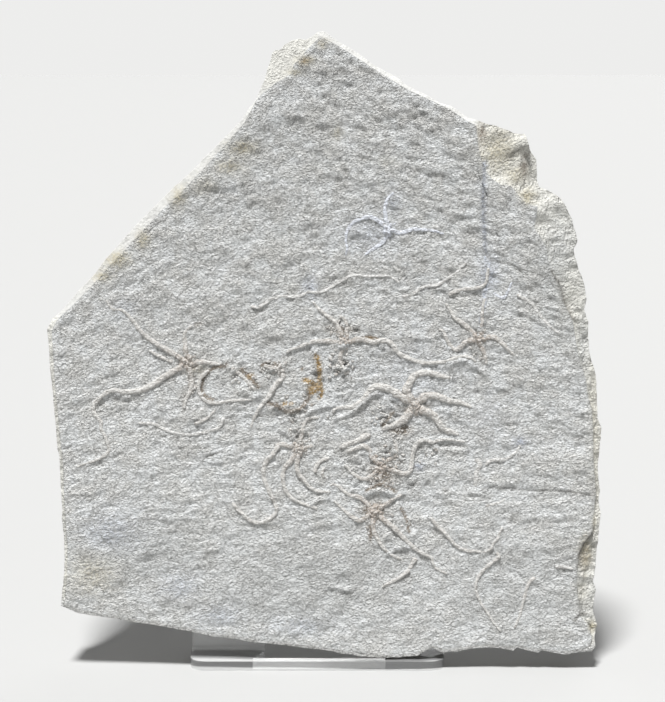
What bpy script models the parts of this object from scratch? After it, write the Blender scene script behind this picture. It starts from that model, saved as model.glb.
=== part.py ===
"""Slab of pale grey limestone carrying fossil brittle stars, leaning back on a clear acrylic easel.

The slab is drawn in its own face frame: s runs right along the face, t runs up the face from the
slab's lowest point, and depth runs back into the stone. All sizes are millimetres until a mesh is
made. An empty leans the face frame back, and the slab and every fossil hang from that empty.
The easel is one bent acrylic sheet: a ledge flat on the table, a back rest parallel to the slab,
and a middle tongue, cut free of the back rest, that bends back at its top to make the rear leg.
"""
import math

import bmesh
import bpy
from mathutils import Vector

MM = 0.001

# Slab
SLAB_THICKNESS = 9.0
LEAN = math.radians(10.0)
BACK_INSET = 2.2             # how far the back face's edge stands inside the broadest outline
BREAK_DEPTH_MIN = 1.3        # depth of the broadest outline behind a narrow bevel
BREAK_DEPTH_MAX = 6.0        # and behind the widest broken edge
BREAK_SLOPE = 0.75           # depth gained per millimetre of sloping edge

# Easel
SHEET = 2.5                  # acrylic thickness
EASEL_LEFT = -35.8
EASEL_RIGHT = 28.2
EASEL_CORNER = 4.0           # round corners of the ledge and of the back rest's top
LEDGE_LIP = 1.0              # how far the ledge reaches in front of the slab
BEND_INSIDE = 0.5            # inner radius of the bends
BACK_REST_TOP = 80.0         # height of the back rest along the slab
HINGE = 70.0                 # height at which the tongue bends away from the back rest
TONGUE_LEFT = -16.6
TONGUE_RIGHT = 9.9
SAW_CUT = 0.6                # width of the saw cut on each side of the tongue
NOTCH_FLARE = 3.4            # the cut-out reaches this far beyond the tongue, near the front
LEDGE_STRIP = 2.4            # acrylic left in front of the cut-out
LEG_SPREAD = math.radians(22.0)

SMOOTH_BELOW = math.radians(35.0)    # edges flatter than this are shaded smooth

# Fits
GAP = 0.3                    # clearance between pieces that touch
FOOT_DROP = 0.23             # the slab's foot is this much lower than its front edge

# Where the face frame's zero point stands, so that the whole object is centred on the origin
X_SHIFT = 2.05
Y_FACE = -25.47
Z_FACE = SHEET + GAP + FOOT_DROP

# Slab edge, clockwise from the tip: broadest outline (s, t), then the edge of the flat face (s, t)
SLAB_EDGE = [
    # upper right edge, a narrow bright bevel
    (-2.5, 156.8, -3.0, 155.4), (2.2, 153.9, 1.7, 152.9), (7.4, 150.6, 6.8, 149.6),
    (13.2, 146.8, 12.6, 145.8), (19.2, 143.0, 18.7, 142.1), (24.0, 140.6, 23.5, 139.9),
    (29.8, 138.1, 29.2, 137.3), (34.2, 135.0, 33.6, 134.3),
    # scooped chip at the right shoulder
    (37.0, 134.4, 35.9, 133.0), (39.0, 133.4, 36.2, 130.0), (41.8, 132.8, 36.9, 126.0),
    (45.2, 131.6, 38.2, 122.3), (48.3, 131.5, 40.6, 119.4), (49.2, 128.4, 44.6, 117.9),
    (50.6, 126.2, 46.6, 116.0), (51.6, 120.5, 48.6, 113.6), (52.0, 118.2, 50.4, 112.4),
    # right side, a broad sloping break that narrows downwards
    (54.8, 116.8, 51.2, 110.8), (57.6, 115.0, 51.0, 109.2), (60.0, 110.4, 51.2, 107.0),
    (61.6, 104.4, 52.8, 103.6), (60.7, 102.3, 53.7, 100.6), (62.0, 96.8, 54.9, 96.4),
    (63.3, 93.6, 56.6, 93.2), (63.8, 89.6, 57.9, 89.2), (63.2, 87.2, 59.1, 86.4),
    (64.2, 83.6, 60.3, 82.8), (64.3, 76.6, 61.3, 76.6), (66.0, 71.0, 62.8, 71.0),
    (66.3, 64.4, 64.0, 64.4), (66.4, 60.0, 64.9, 60.0), (67.4, 57.6, 65.3, 56.6),
    (66.8, 51.2, 65.3, 51.0), (66.4, 47.6, 65.5, 47.4), (67.0, 42.0, 65.9, 41.6),
    (67.2, 36.0, 65.5, 36.2), (66.8, 32.0, 64.8, 31.4),
    # chip at the lower right
    (66.5, 28.8, 62.9, 28.4), (66.1, 25.0, 61.6, 25.0), (65.5, 19.4, 61.0, 20.4),
    (66.2, 16.8, 61.2, 16.2), (65.5, 13.6, 61.7, 12.4), (65.5, 10.6, 63.2, 9.6),
    (66.4, 7.8, 64.9, 7.4), (65.7, 5.0, 64.8, 4.8), (65.8, 2.8, 64.4, 3.4),
    # foot
    (64.0, 1.6, 63.2, 2.5), (58.0, 0.8, 57.8, 1.7), (52.6, 1.4, 52.6, 2.3),
    (47.0, 2.2, 47.0, 3.0), (42.0, 2.3, 42.0, 3.1), (38.5, 2.7, 38.4, 3.5),
    (32.8, 2.0, 32.6, 2.8), (28.4, 1.4, 28.2, 2.3), (25.2, 2.4, 25.1, 3.2),
    (21.8, 0.6, 21.6, 1.4), (15.0, 0.0, 15.0, 0.8), (9.6, 0.1, 9.6, 0.9),
    (0.0, 1.6, 0.1, 2.4), (-8.8, 2.7, -8.7, 3.5), (-17.0, 3.7, -16.9, 4.5),
    (-24.6, 4.9, -24.5, 5.7), (-30.0, 5.6, -29.9, 6.5), (-41.7, 7.7, -41.5, 8.6),
    (-49.7, 8.9, -49.5, 9.8), (-59.3, 10.5, -59.1, 11.4), (-63.8, 11.3, -63.4, 12.2),
    # left side
    (-67.9, 13.0, -66.9, 13.8), (-67.2, 20.0, -66.4, 20.0), (-67.1, 28.0, -66.2, 28.0),
    (-67.8, 35.6, -66.8, 35.6), (-68.1, 42.4, -67.1, 42.4), (-68.4, 49.8, -67.4, 49.8),
    (-69.1, 54.6, -68.1, 54.6), (-69.7, 61.6, -68.7, 61.6), (-70.4, 69.0, -69.4, 69.0),
    (-71.0, 77.3, -69.9, 77.3), (-71.5, 82.2, -70.3, 82.0), (-70.0, 85.0, -69.0, 84.4),
    # upper left edge, a wider bevel
    (-65.3, 89.8, -64.3, 88.8), (-61.0, 94.5, -59.8, 93.3), (-57.3, 99.2, -55.8, 98.0),
    (-52.0, 105.2, -50.3, 103.8), (-47.7, 109.8, -46.1, 108.3), (-42.5, 115.0, -41.1, 113.5),
    (-37.6, 119.6, -36.4, 117.9), (-32.4, 124.8, -31.2, 123.4), (-27.2, 130.0, -26.3, 128.9),
    (-22.8, 134.6, -22.0, 133.8), (-19.2, 139.6, -18.4, 138.8),
    # striated ear beside the tip
    (-18.0, 142.4, -16.6, 141.2), (-16.6, 146.2, -14.4, 143.4), (-15.5, 149.6, -12.6, 144.9),
    (-14.8, 152.1, -11.0, 146.2), (-13.0, 152.4, -9.8, 147.6), (-12.0, 153.6, -9.0, 149.4),
    (-8.4, 155.0, -7.4, 151.5), (-6.8, 154.6, -6.0, 152.8), (-4.6, 155.8, -4.6, 154.2),
]

# Calcite colours: brown where the animal is well kept, blue-grey where it is faint
STAR_COLOUR = {
    "brittle_star_left": (0.33, 0.29, 0.24),
    "brittle_star_upper_middle": (0.38, 0.34, 0.28),
    "brittle_star_right": (0.33, 0.28, 0.22),
    "brittle_star_thick_armed": (0.40, 0.36, 0.30),
    "brittle_star_brown_middle": (0.31, 0.26, 0.20),
    "brittle_star_low_middle": (0.37, 0.33, 0.27),
    "brittle_star_curled": (0.38, 0.34, 0.28),
    "brittle_star_small_broken": (0.40, 0.37, 0.32),
    "brittle_star_faint_upper": (0.40, 0.43, 0.46),
}
LOOSE_ARM_COLOUR = (0.42, 0.40, 0.37)

# Fossils: arm routes as (s, t) points from the disc outwards, each with its root and tip widths
DISC_HEIGHT = 0.9
ARM_HEIGHT = 0.62            # of its width
STARS = {
    "brittle_star_left": ((-36.4, 73.8), 2.5, [
        (1.4, 0.5, [(-37.2, 74.6), (-40.5, 76.5), (-42.9, 77.9), (-44.9, 79.2), (-46.9, 80.6),
                    (-48.5, 82.4), (-49.8, 84.2), (-51.2, 85.8), (-52.6, 86.9), (-54.7, 87.1),
                    (-55.9, 88.2), (-56.6, 89.6)]),
        (1.5, 0.5, [(-37.2, 72.9), (-39.7, 71.7), (-41.8, 70.4), (-43.7, 69.2), (-45.6, 67.9),
                    (-47.6, 67.0), (-50.2, 66.6), (-52.8, 66.5), (-54.4, 66.9), (-56.0, 66.6),
                    (-57.5, 65.6), (-58.9, 64.3), (-59.7, 63.0), (-59.7, 61.5), (-58.9, 60.2),
                    (-57.9, 59.0), (-57.8, 57.2), (-56.8, 55.2), (-56.1, 53.2), (-55.9, 51.8),
                    (-57.1, 50.5), (-59.2, 49.4), (-61.7, 48.6), (-64.0, 47.7)]),
        (1.4, 0.6, [(-36.5, 74.8), (-36.8, 78.3), (-37.0, 80.6), (-36.4, 82.0), (-35.1, 83.2)]),
        (1.4, 0.6, [(-36.0, 73.0), (-35.3, 70.0), (-35.2, 68.0), (-35.8, 66.2), (-36.7, 64.4),
                    (-37.0, 62.2)]),
        (1.5, 0.7, [(-35.4, 73.8), (-32.5, 74.0), (-30.4, 73.7), (-28.0, 73.4)]),
    ]),
    "brittle_star_upper_middle": ((3.2, 79.2), 2.3, [
        (1.4, 0.5, [(2.2, 79.0), (-2.2, 79.2), (-4.8, 79.1), (-6.8, 78.4), (-8.8, 77.6),
                    (-10.6, 77.0), (-11.6, 76.2)]),
        (1.3, 0.6, [(2.6, 80.2), (1.2, 83.2), (-0.2, 84.6), (-1.8, 85.9), (-3.6, 87.4),
                    (-5.0, 89.2)]),
        (1.4, 0.6, [(4.2, 79.2), (6.6, 79.7), (8.4, 79.4), (10.2, 78.9), (12.0, 79.3),
                    (13.5, 79.3), (14.9, 78.4), (15.8, 77.0), (17.1, 75.8), (18.9, 75.0),
                    (21.0, 74.2), (23.0, 73.8), (25.6, 73.8), (28.6, 74.2), (30.6, 75.0),
                    (33.0, 75.4), (34.9, 74.8), (36.0, 73.9)]),
        (1.2, 0.6, [(3.4, 80.2), (3.5, 83.4), (2.2, 85.6)]),
        (1.2, 0.6, [(2.9, 78.2), (1.8, 74.6), (2.8, 72.4), (3.4, 70.6)]),
    ]),
    "brittle_star_right": ((36.6, 79.8), 2.3, [
        (1.4, 0.6, [(35.9, 80.5), (33.8, 82.6), (31.9, 84.1), (30.5, 85.0), (29.7, 86.5),
                    (28.8, 87.8), (28.3, 88.7)]),
        (1.2, 0.7, [(36.7, 80.8), (37.3, 84.0), (37.4, 86.0), (37.6, 88.0), (38.1, 90.0)]),
        (1.4, 0.6, [(37.6, 80.0), (40.1, 80.2), (41.8, 79.2), (43.1, 78.0), (44.3, 76.6),
                    (45.8, 75.6)]),
        (1.4, 0.6, [(35.6, 79.6), (33.5, 79.1), (31.9, 77.6), (30.6, 77.1), (29.3, 78.3),
                    (28.4, 80.0), (27.6, 81.7), (26.4, 82.2)]),
        (1.3, 0.7, [(36.9, 78.8), (37.8, 76.4), (38.3, 74.8), (38.5, 73.4)]),
    ]),
    "brittle_star_thick_armed": ((20.6, 63.0), 2.6, [
        (1.7, 0.6, [(19.8, 63.8), (17.2, 65.4), (15.7, 66.3), (14.4, 67.1), (12.9, 67.6),
                    (10.9, 67.8), (9.7, 67.2), (8.8, 66.0), (8.0, 64.9), (6.7, 63.7),
                    (5.3, 62.8), (3.0, 62.6), (0.8, 62.4), (0.1, 61.2)]),
        (1.7, 0.7, [(20.0, 64.0), (18.5, 66.8), (19.2, 68.6), (20.2, 70.2), (21.7, 71.1),
                    (23.5, 71.3), (25.1, 71.1), (27.5, 70.4), (29.6, 69.9)]),
        (1.6, 0.6, [(21.4, 63.8), (22.9, 65.2), (24.2, 65.6), (25.9, 65.5), (27.8, 64.8),
                    (29.6, 64.2), (31.2, 64.0), (33.0, 63.5), (34.9, 62.6)]),
        (1.7, 0.7, [(21.4, 62.2), (23.7, 61.5), (25.2, 60.7), (26.2, 59.3), (27.2, 57.9),
                    (28.6, 56.8), (30.2, 56.4), (31.8, 55.9)]),
        (1.7, 0.8, [(19.9, 62.2), (18.2, 59.9), (16.8, 58.9), (15.2, 58.1), (13.7, 57.7),
                    (12.4, 57.0)]),
    ]),
    "brittle_star_brown_middle": ((12.3, 48.0), 2.4, [
        (1.3, 0.7, [(11.6, 48.8), (9.9, 50.2), (9.3, 51.8), (8.0, 53.0), (6.6, 52.7),
                    (5.0, 52.1), (3.4, 51.5)]),
        (1.3, 0.6, [(11.6, 47.2), (9.4, 45.2), (8.0, 44.7), (6.2, 45.3), (4.9, 46.3),
                    (3.9, 47.5), (2.8, 48.2)]),
        (1.3, 0.8, [(12.2, 47.0), (11.9, 45.4), (11.8, 44.2)]),
        (1.2, 0.6, [(12.9, 48.9), (15.3, 50.4), (16.1, 51.8), (15.8, 53.6), (15.1, 54.8)]),
        (1.3, 0.5, [(13.3, 47.7), (16.0, 46.6), (18.0, 46.0), (19.4, 46.7), (19.8, 48.5),
                    (20.0, 50.5), (20.6, 52.5), (21.6, 54.1), (23.4, 54.4), (25.0, 53.9),
                    (26.4, 54.4), (28.4, 54.6), (30.6, 54.4), (33.2, 54.0)]),
    ]),
    "brittle_star_low_middle": ((10.4, 36.6), 2.4, [
        (1.3, 0.6, [(11.3, 37.2), (13.6, 38.6), (15.2, 39.8), (16.8, 40.6), (18.0, 41.8)]),
        (1.3, 0.5, [(9.7, 37.4), (7.7, 39.5), (6.6, 40.2), (5.0, 40.5), (3.5, 41.2),
                    (2.2, 42.3), (1.2, 43.1), (0.1, 43.4), (-0.9, 43.0)]),
        (1.3, 0.5, [(9.6, 36.0), (7.0, 34.4), (5.8, 34.7), (4.2, 35.8), (2.7, 37.1),
                    (1.3, 38.4), (0.3, 39.4)]),
        (1.3, 0.5, [(10.2, 35.5), (10.2, 32.4), (10.9, 30.4), (11.7, 29.0), (12.4, 28.0),
                    (13.5, 26.7), (15.1, 25.6), (17.0, 24.7), (17.8, 24.1)]),
        (1.4, 0.5, [(11.3, 36.0), (13.2, 34.1), (14.8, 33.0), (16.3, 31.6), (17.7, 30.1),
                    (19.1, 28.8), (20.9, 27.1), (23.2, 25.8), (24.8, 25.0), (25.0, 23.9),
                    (25.8, 22.6), (27.2, 21.7), (28.7, 21.1)]),
    ]),
    "brittle_star_curled": ((-8.3, 52.4), 2.2, [
        (1.2, 0.5, [(-9.3, 52.6), (-12.9, 53.4), (-14.1, 52.1), (-15.2, 50.6), (-16.4, 49.4),
                    (-17.1, 47.6), (-17.2, 45.6), (-16.8, 43.8), (-16.0, 42.2), (-15.3, 40.5),
                    (-14.5, 38.9), (-14.0, 37.4), (-14.3, 36.1), (-15.4, 35.0), (-16.8, 34.2),
                    (-18.4, 33.8), (-20.0, 34.1), (-21.4, 35.0), (-22.8, 36.3), (-24.1, 37.6),
                    (-25.0, 38.9)]),
        (1.3, 0.6, [(-9.0, 51.6), (-10.4, 49.2), (-11.5, 48.2), (-12.2, 46.8), (-12.4, 44.8),
                    (-12.0, 42.7), (-11.1, 40.9), (-9.5, 39.5), (-7.5, 38.6), (-5.4, 37.9),
                    (-3.6, 37.2)]),
        (1.3, 0.6, [(-8.4, 51.4), (-8.9, 48.0), (-8.3, 45.8), (-7.0, 44.3), (-5.9, 42.9),
                    (-4.5, 42.0), (-2.7, 41.6), (-0.4, 41.5)]),
        (1.2, 0.6, [(-8.2, 53.4), (-7.6, 56.4), (-7.2, 58.2), (-6.4, 59.6), (-4.9, 60.1),
                    (-3.4, 59.9)]),
        (1.2, 0.7, [(-7.3, 52.6), (-4.4, 53.2)]),
    ]),
    "brittle_star_small_broken": ((-13.6, 72.0), 1.8, [
        (1.4, 0.6, [(-12.8, 71.6), (-12.4, 70.2), (-13.9, 68.6), (-15.0, 66.9), (-15.9, 65.4),
                    (-17.2, 63.8), (-18.4, 62.2), (-19.3, 60.6), (-19.9, 59.2), (-20.5, 57.4)]),
        (1.5, 0.8, [(-14.4, 72.2), (-17.3, 73.2)]),
    ]),
    "brittle_star_faint_upper": ((14.0, 107.0), 1.8, [
        (1.2, 0.5, [(13.4, 107.6), (11.9, 109.0), (9.9, 110.1), (7.6, 110.0), (5.2, 108.8),
                    (3.6, 106.6), (3.3, 104.4), (3.7, 102.4), (3.2, 100.6)]),
        (1.2, 0.5, [(13.6, 106.3), (12.8, 104.2), (10.4, 102.4), (8.0, 100.8)]),
        (1.2, 0.5, [(14.8, 106.8), (17.4, 106.3), (19.8, 107.1), (22.2, 107.1), (24.8, 106.9),
                    (28.0, 106.0)]),
        (1.2, 0.5, [(13.9, 107.8), (13.3, 110.4), (13.1, 112.6), (13.8, 114.8), (15.4, 116.4)]),
    ]),
}
LOOSE_ARMS = {
    "loose_arm_beside_left_star": (1.0, 0.6, [(-39.8, 74.0), (-41.9, 74.8), (-44.0, 75.8),
                                              (-46.0, 77.0)]),
    "loose_arm_hooked_left": (1.0, 0.6, [
        (-30.8, 72.0), (-31.9, 71.1), (-33.0, 69.9), (-33.4, 68.3), (-33.4, 66.7), (-32.6, 65.2),
        (-31.4, 64.1), (-29.8, 63.7), (-27.6, 63.9), (-25.2, 64.3), (-22.4, 64.5), (-19.8, 64.7),
        (-17.8, 65.6)]),
    "loose_arm_lower_left": (0.7, 0.9, [
        (-48.7, 58.8), (-45.0, 58.5), (-43.0, 57.7), (-40.3, 56.5), (-37.7, 56.0), (-34.7, 55.9),
        (-30.9, 56.7), (-28.8, 57.4), (-27.5, 59.0), (-27.2, 60.5)]),
    "loose_arm_short_left": (0.8, 0.6, [(-34.6, 58.4), (-33.2, 59.0), (-31.4, 59.9),
                                        (-30.0, 61.2), (-29.2, 62.2)]),
    "loose_arm_slanting_left": (1.1, 0.8, [(-25.4, 72.7), (-23.3, 71.0), (-21.7, 69.5),
                                           (-20.4, 68.1), (-19.2, 66.9)]),
    "loose_arm_thick_middle": (1.1, 0.8, [(9.6, 55.2), (8.4, 55.5), (7.0, 54.7), (5.2, 53.9),
                                          (3.3, 53.2), (1.6, 52.6)]),
    "loose_arm_curved_outer": (1.0, 0.8, [(-4.5, 46.2), (-4.2, 47.6), (-3.3, 48.9),
                                          (-2.0, 49.7), (-0.7, 49.9)]),
    "loose_arm_curved_inner": (0.9, 0.7, [(-2.2, 44.9), (-2.5, 46.4), (-2.0, 47.8)]),
    "loose_arm_forked_low": (1.1, 0.6, [(21.0, 25.0), (20.2, 24.0), (19.6, 22.9), (18.9, 21.8),
                                        (17.3, 20.5), (15.7, 19.5), (14.1, 18.7),
                                        (12.3, 17.7)]),
    "loose_arm_long_low_right": (1.0, 0.6, [
        (24.5, 35.2), (25.9, 33.3), (27.7, 31.6), (29.1, 30.1), (30.3, 28.6), (31.8, 27.5),
        (33.6, 26.9), (35.9, 26.7), (38.1, 26.7), (39.5, 27.2), (40.2, 28.6), (41.3, 29.9),
        (41.8, 31.2), (42.5, 32.8)]),
    "loose_arm_s_shaped": (0.9, 0.5, [
        (41.0, 26.4), (41.6, 25.4), (40.4, 24.2), (38.4, 22.6), (36.8, 20.8), (35.9, 18.8),
        (36.0, 16.4), (37.2, 13.6), (38.8, 11.2), (40.4, 8.6), (42.2, 6.6)]),
    "loose_arm_bottom_right": (0.9, 0.6, [(50.7, 20.2), (49.2, 18.9), (48.4, 16.8),
                                          (47.8, 14.6), (47.2, 12.0), (46.4, 9.6),
                                          (45.4, 7.4)]),
    "loose_arm_upright_right": (1.2, 0.9, [(35.6, 49.8), (36.7, 48.9), (36.7, 47.8),
                                           (36.0, 46.7), (35.9, 44.8), (35.6, 42.8)]),
    "loose_arm_bent_right": (0.9, 0.6, [(38.2, 48.3), (39.0, 49.0), (40.2, 49.5), (41.6, 49.5),
                                        (43.1, 49.6), (44.9, 50.7), (46.3, 52.0),
                                        (46.9, 53.3)]),
    "loose_arm_short_right": (0.8, 0.6, [(38.2, 38.0), (40.0, 38.4), (41.8, 38.8),
                                         (43.1, 39.8)]),
    "loose_arm_straight_right": (0.8, 0.6, [(55.7, 22.8), (58.0, 22.7), (60.2, 22.3)]),
    "loose_arm_long_upper": (0.8, 0.6, [
        (-20.6, 87.9), (-18.6, 87.7), (-16.9, 88.6), (-15.2, 89.8), (-12.6, 90.4), (-9.8, 90.3),
        (-7.4, 90.8), (-6.2, 91.5), (-4.6, 91.4), (-2.4, 91.6), (-0.6, 92.6), (1.2, 93.7),
        (3.0, 94.7), (4.6, 95.6), (6.4, 95.7), (8.2, 95.4), (10.8, 95.5), (13.6, 95.5),
        (15.4, 94.9), (16.6, 93.8)]),
    "loose_arm_upper_right": (0.8, 0.6, [
        (17.3, 90.2), (18.7, 90.5), (20.4, 91.2), (22.0, 92.4), (23.8, 93.0), (25.6, 93.1),
        (27.4, 93.9), (28.8, 94.9), (30.6, 96.0), (32.0, 97.6), (33.6, 98.8)]),
    "loose_arm_angular": (1.0, 0.8, [(29.0, 90.7), (30.4, 91.5), (33.0, 92.2), (35.7, 92.4),
                                     (37.6, 93.0), (38.5, 94.2), (38.7, 95.8), (39.0, 97.6)]),
    "loose_arm_v_shaped": (0.8, 0.6, [(40.2, 91.3), (41.5, 90.4), (42.8, 90.1), (43.9, 91.8),
                                      (44.9, 94.1)]),
    "loose_arm_far_right": (0.8, 0.5, [(46.0, 90.9), (48.3, 89.6), (50.2, 88.2), (51.6, 86.0),
                                       (53.3, 84.0), (55.2, 82.2), (57.0, 81.0)]),
}


def clear_scene():
    """Remove every object that the file opened with."""
    for item in list(bpy.data.objects):
        bpy.data.objects.remove(item, do_unlink=True)


def make_material(name, colour, roughness, transmission=0.0):
    """A Principled material in one colour."""
    material = bpy.data.materials.new(name)
    material.use_nodes = True
    shader = material.node_tree.nodes["Principled BSDF"]
    shader.inputs["Base Color"].default_value = (*colour, 1.0)
    shader.inputs["Roughness"].default_value = roughness
    shader.inputs["Metallic"].default_value = 0.0
    shader.inputs["Transmission Weight"].default_value = transmission
    return material


def add_object(name, mesh_builder, material, parent=None):
    """Turn a BMesh into a named object with one material, hung from a parent if one is given."""
    mesh = bpy.data.meshes.new(name)
    mesh_builder.to_mesh(mesh)
    mesh_builder.free()
    mesh.materials.append(material)
    mesh.shade_smooth()
    mesh.set_sharp_from_angle(angle=SMOOTH_BELOW)
    item = bpy.data.objects.new(name, mesh)
    bpy.context.scene.collection.objects.link(item)
    item.parent = parent
    return item


def face_point(s, t, depth):
    """A point of the face frame, in metres: X is s, Y is depth and Z is t."""
    return Vector((s, depth, t)) * MM


def bridge(builder, ring_a, ring_b):
    """Join two rings of vertices, in step, with triangles."""
    count = len(ring_a)
    for i in range(count):
        j = (i + 1) % count
        builder.faces.new((ring_a[i], ring_a[j], ring_b[j]))
        builder.faces.new((ring_a[i], ring_b[j], ring_b[i]))


def close_shape(builder):
    """Triangulate what is left and turn every face outwards."""
    bmesh.ops.triangulate(builder, faces=builder.faces[:], ngon_method="EAR_CLIP")
    bmesh.ops.recalc_face_normals(builder, faces=builder.faces[:])


def make_slab(material, parent):
    """Flat face, sloping break out to the broadest outline, then in again to the back face."""
    builder = bmesh.new()
    face_ring, outline_ring, back_ring = [], [], []
    count = len(SLAB_EDGE)
    for i, (s, t, face_s, face_t) in enumerate(SLAB_EDGE):
        break_width = math.hypot(s - face_s, t - face_t)
        break_depth = min(max(BREAK_SLOPE * break_width, BREAK_DEPTH_MIN), BREAK_DEPTH_MAX)
        before, after = SLAB_EDGE[i - 2], SLAB_EDGE[(i + 2) % count]
        along = Vector((after[0] - before[0], after[1] - before[1])).normalized()
        inward = Vector((along.y, -along.x))
        back_s = s + inward.x * BACK_INSET
        back_t = t + inward.y * BACK_INSET
        face_ring.append(builder.verts.new(face_point(face_s, face_t, 0.0)))
        outline_ring.append(builder.verts.new(face_point(s, t, break_depth)))
        back_ring.append(builder.verts.new(face_point(back_s, back_t, SLAB_THICKNESS)))
    bridge(builder, face_ring, outline_ring)
    bridge(builder, outline_ring, back_ring)
    builder.faces.new(face_ring)
    builder.faces.new(back_ring)
    close_shape(builder)
    return add_object("limestone_slab", builder, material, parent)


def make_arm(name, root_width, tip_width, route, material, parent):
    """A tapering ridge with five corners, laid along its route a gap above the face."""
    builder = bmesh.new()
    rings = []
    last = len(route) - 1
    for i, (s, t) in enumerate(route):
        width = root_width + (tip_width - root_width) * i / last
        height = ARM_HEIGHT * width
        before, after = route[max(i - 1, 0)], route[min(i + 1, last)]
        along = Vector((after[0] - before[0], after[1] - before[1])).normalized()
        side = Vector((along.y, -along.x))
        profile = ((-0.5, 0.0), (-0.36, 0.7), (0.0, 1.0), (0.36, 0.7), (0.5, 0.0))
        ring = []
        for across, up in profile:
            point = Vector((s, t)) + side * across * width
            ring.append(builder.verts.new(face_point(point.x, point.y, -GAP - up * height)))
        rings.append(ring)
    for ring_a, ring_b in zip(rings, rings[1:]):
        bridge(builder, ring_a, ring_b)
    builder.faces.new(rings[0])
    builder.faces.new(rings[-1])
    close_shape(builder)
    return add_object(name, builder, material, parent)


def make_disc(name, centre, radius, material, parent):
    """A low dome with five shallow lobes, a gap above the face."""
    builder = bmesh.new()
    sides, lobes, lobe_depth = 15, 5, 0.08
    rings = []
    for share, up in ((1.0, 0.0), (0.92, 0.55), (0.6, 0.88)):
        ring = []
        for i in range(sides):
            angle = 2.0 * math.pi * i / sides
            reach = radius * share * (1.0 + lobe_depth * math.cos(lobes * angle))
            s = centre[0] + reach * math.cos(angle)
            t = centre[1] + reach * math.sin(angle)
            ring.append(builder.verts.new(face_point(s, t, -GAP - up * DISC_HEIGHT)))
        rings.append(ring)
    for ring_a, ring_b in zip(rings, rings[1:]):
        bridge(builder, ring_a, ring_b)
    crown = builder.verts.new(face_point(*centre, -GAP - DISC_HEIGHT))
    for i in range(sides):
        builder.faces.new((rings[-1][i], rings[-1][(i + 1) % sides], crown))
    builder.faces.new(rings[0])
    close_shape(builder)
    return add_object(name, builder, material, parent)


def join_piece(item, piece):
    """Unite a hidden helper piece with an object by a Boolean."""
    piece.hide_render = True
    piece.display_type = "WIRE"
    join = item.modifiers.new(piece.name, "BOOLEAN")
    join.operation = "UNION"
    join.solver = "EXACT"
    join.object = piece


def make_star(name, centre, radius, arms, material, parent):
    """One animal: its disc united with its arms."""
    star = make_disc(name, centre, radius, material, parent)
    for number, (root_width, tip_width, route) in enumerate(arms, start=1):
        arm = make_arm(f"{name}_arm_{number}", root_width, tip_width, route, material, parent)
        join_piece(star, arm)
    return star


def lean_point(t, depth):
    """World (y, z) in millimetres of a point at height t and depth behind the face."""
    y = Y_FACE + t * math.sin(LEAN) + depth * math.cos(LEAN)
    z = Z_FACE + t * math.cos(LEAN) - depth * math.sin(LEAN)
    return y, z


def bend_rows(centre, near_radius, far_radius, start, end, steps=6):
    """(near, far) pairs of (y, z) points round a bend, between two angles in degrees."""
    rows = []
    for i in range(steps + 1):
        angle = math.radians(start + (end - start) * i / steps)
        reach = (math.cos(angle), math.sin(angle))
        near = (centre[0] + near_radius * reach[0], centre[1] + near_radius * reach[1])
        far = (centre[0] + far_radius * reach[0], centre[1] + far_radius * reach[1])
        rows.append((near, far))
    return rows


def corner_cut(distance):
    """How far a round corner has drawn the edge in, at a distance from the sheet's end."""
    if distance >= EASEL_CORNER:
        return 0.0
    return EASEL_CORNER - math.sqrt(EASEL_CORNER ** 2 - (EASEL_CORNER - distance) ** 2)


def sheet_rows():
    """Rows of the ledge and back rest: (near, far, corner cut, cut-out flare or None)."""
    front = Y_FACE - LEDGE_LIP
    rest_front = SLAB_THICKNESS + GAP
    rest_back = rest_front + SHEET
    outside = BEND_INSIDE + SHEET
    lean_degrees = math.degrees(LEAN)

    # the bend is tangent to the table and to the back of the back rest
    bend_depth = rest_back - outside
    bend_t = (outside - Z_FACE + bend_depth * math.sin(LEAN)) / math.cos(LEAN)
    bend_centre = lean_point(bend_t, bend_depth)

    rows = []
    for distance in (0.0, 0.3, 1.0, LEDGE_STRIP):
        y = front + distance
        rows.append(((y, SHEET), (y, 0.0), corner_cut(distance), None))
    flare_end = bend_centre[0] - SHEET
    rows[-1] = (*rows[-1][:3], NOTCH_FLARE)
    corner_end = front + EASEL_CORNER
    flare_there = NOTCH_FLARE + (SAW_CUT - NOTCH_FLARE) * (
        (EASEL_CORNER - LEDGE_STRIP) / (flare_end - front - LEDGE_STRIP))
    rows.append(((corner_end, SHEET), (corner_end, 0.0), 0.0, flare_there))
    rows.append(((flare_end, SHEET), (flare_end, 0.0), 0.0, SAW_CUT))
    for near, far in bend_rows(bend_centre, BEND_INSIDE, outside, -90.0, -lean_degrees):
        rows.append((near, far, 0.0, SAW_CUT))
    for t in (HINGE, BACK_REST_TOP - EASEL_CORNER):
        rows.append((lean_point(t, rest_front), lean_point(t, rest_back), 0.0, SAW_CUT))
    for distance in (2.0, 0.8, 0.2, 0.0):
        t = BACK_REST_TOP - distance
        rows.append((lean_point(t, rest_front), lean_point(t, rest_back),
                     corner_cut(distance), SAW_CUT))
    return rows


def tongue_rows():
    """Rows of the tongue below its hinge: a bend to the rear, then straight to the table."""
    rest_back = SLAB_THICKNESS + GAP + SHEET
    centre = lean_point(HINGE, rest_back + BEND_INSIDE)
    start = 180.0 - math.degrees(LEAN)
    end = 180.0 + math.degrees(LEG_SPREAD)
    rows = bend_rows(centre, BEND_INSIDE + SHEET, BEND_INSIDE, start, end, steps=4)[1:]
    near, far = rows[-1]
    run = math.tan(LEG_SPREAD)
    foot_near = (near[0] + near[1] * run, 0.0)
    foot_far = (far[0] + far[1] * run, 0.0)
    return rows + [(foot_near, foot_far)]


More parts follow.
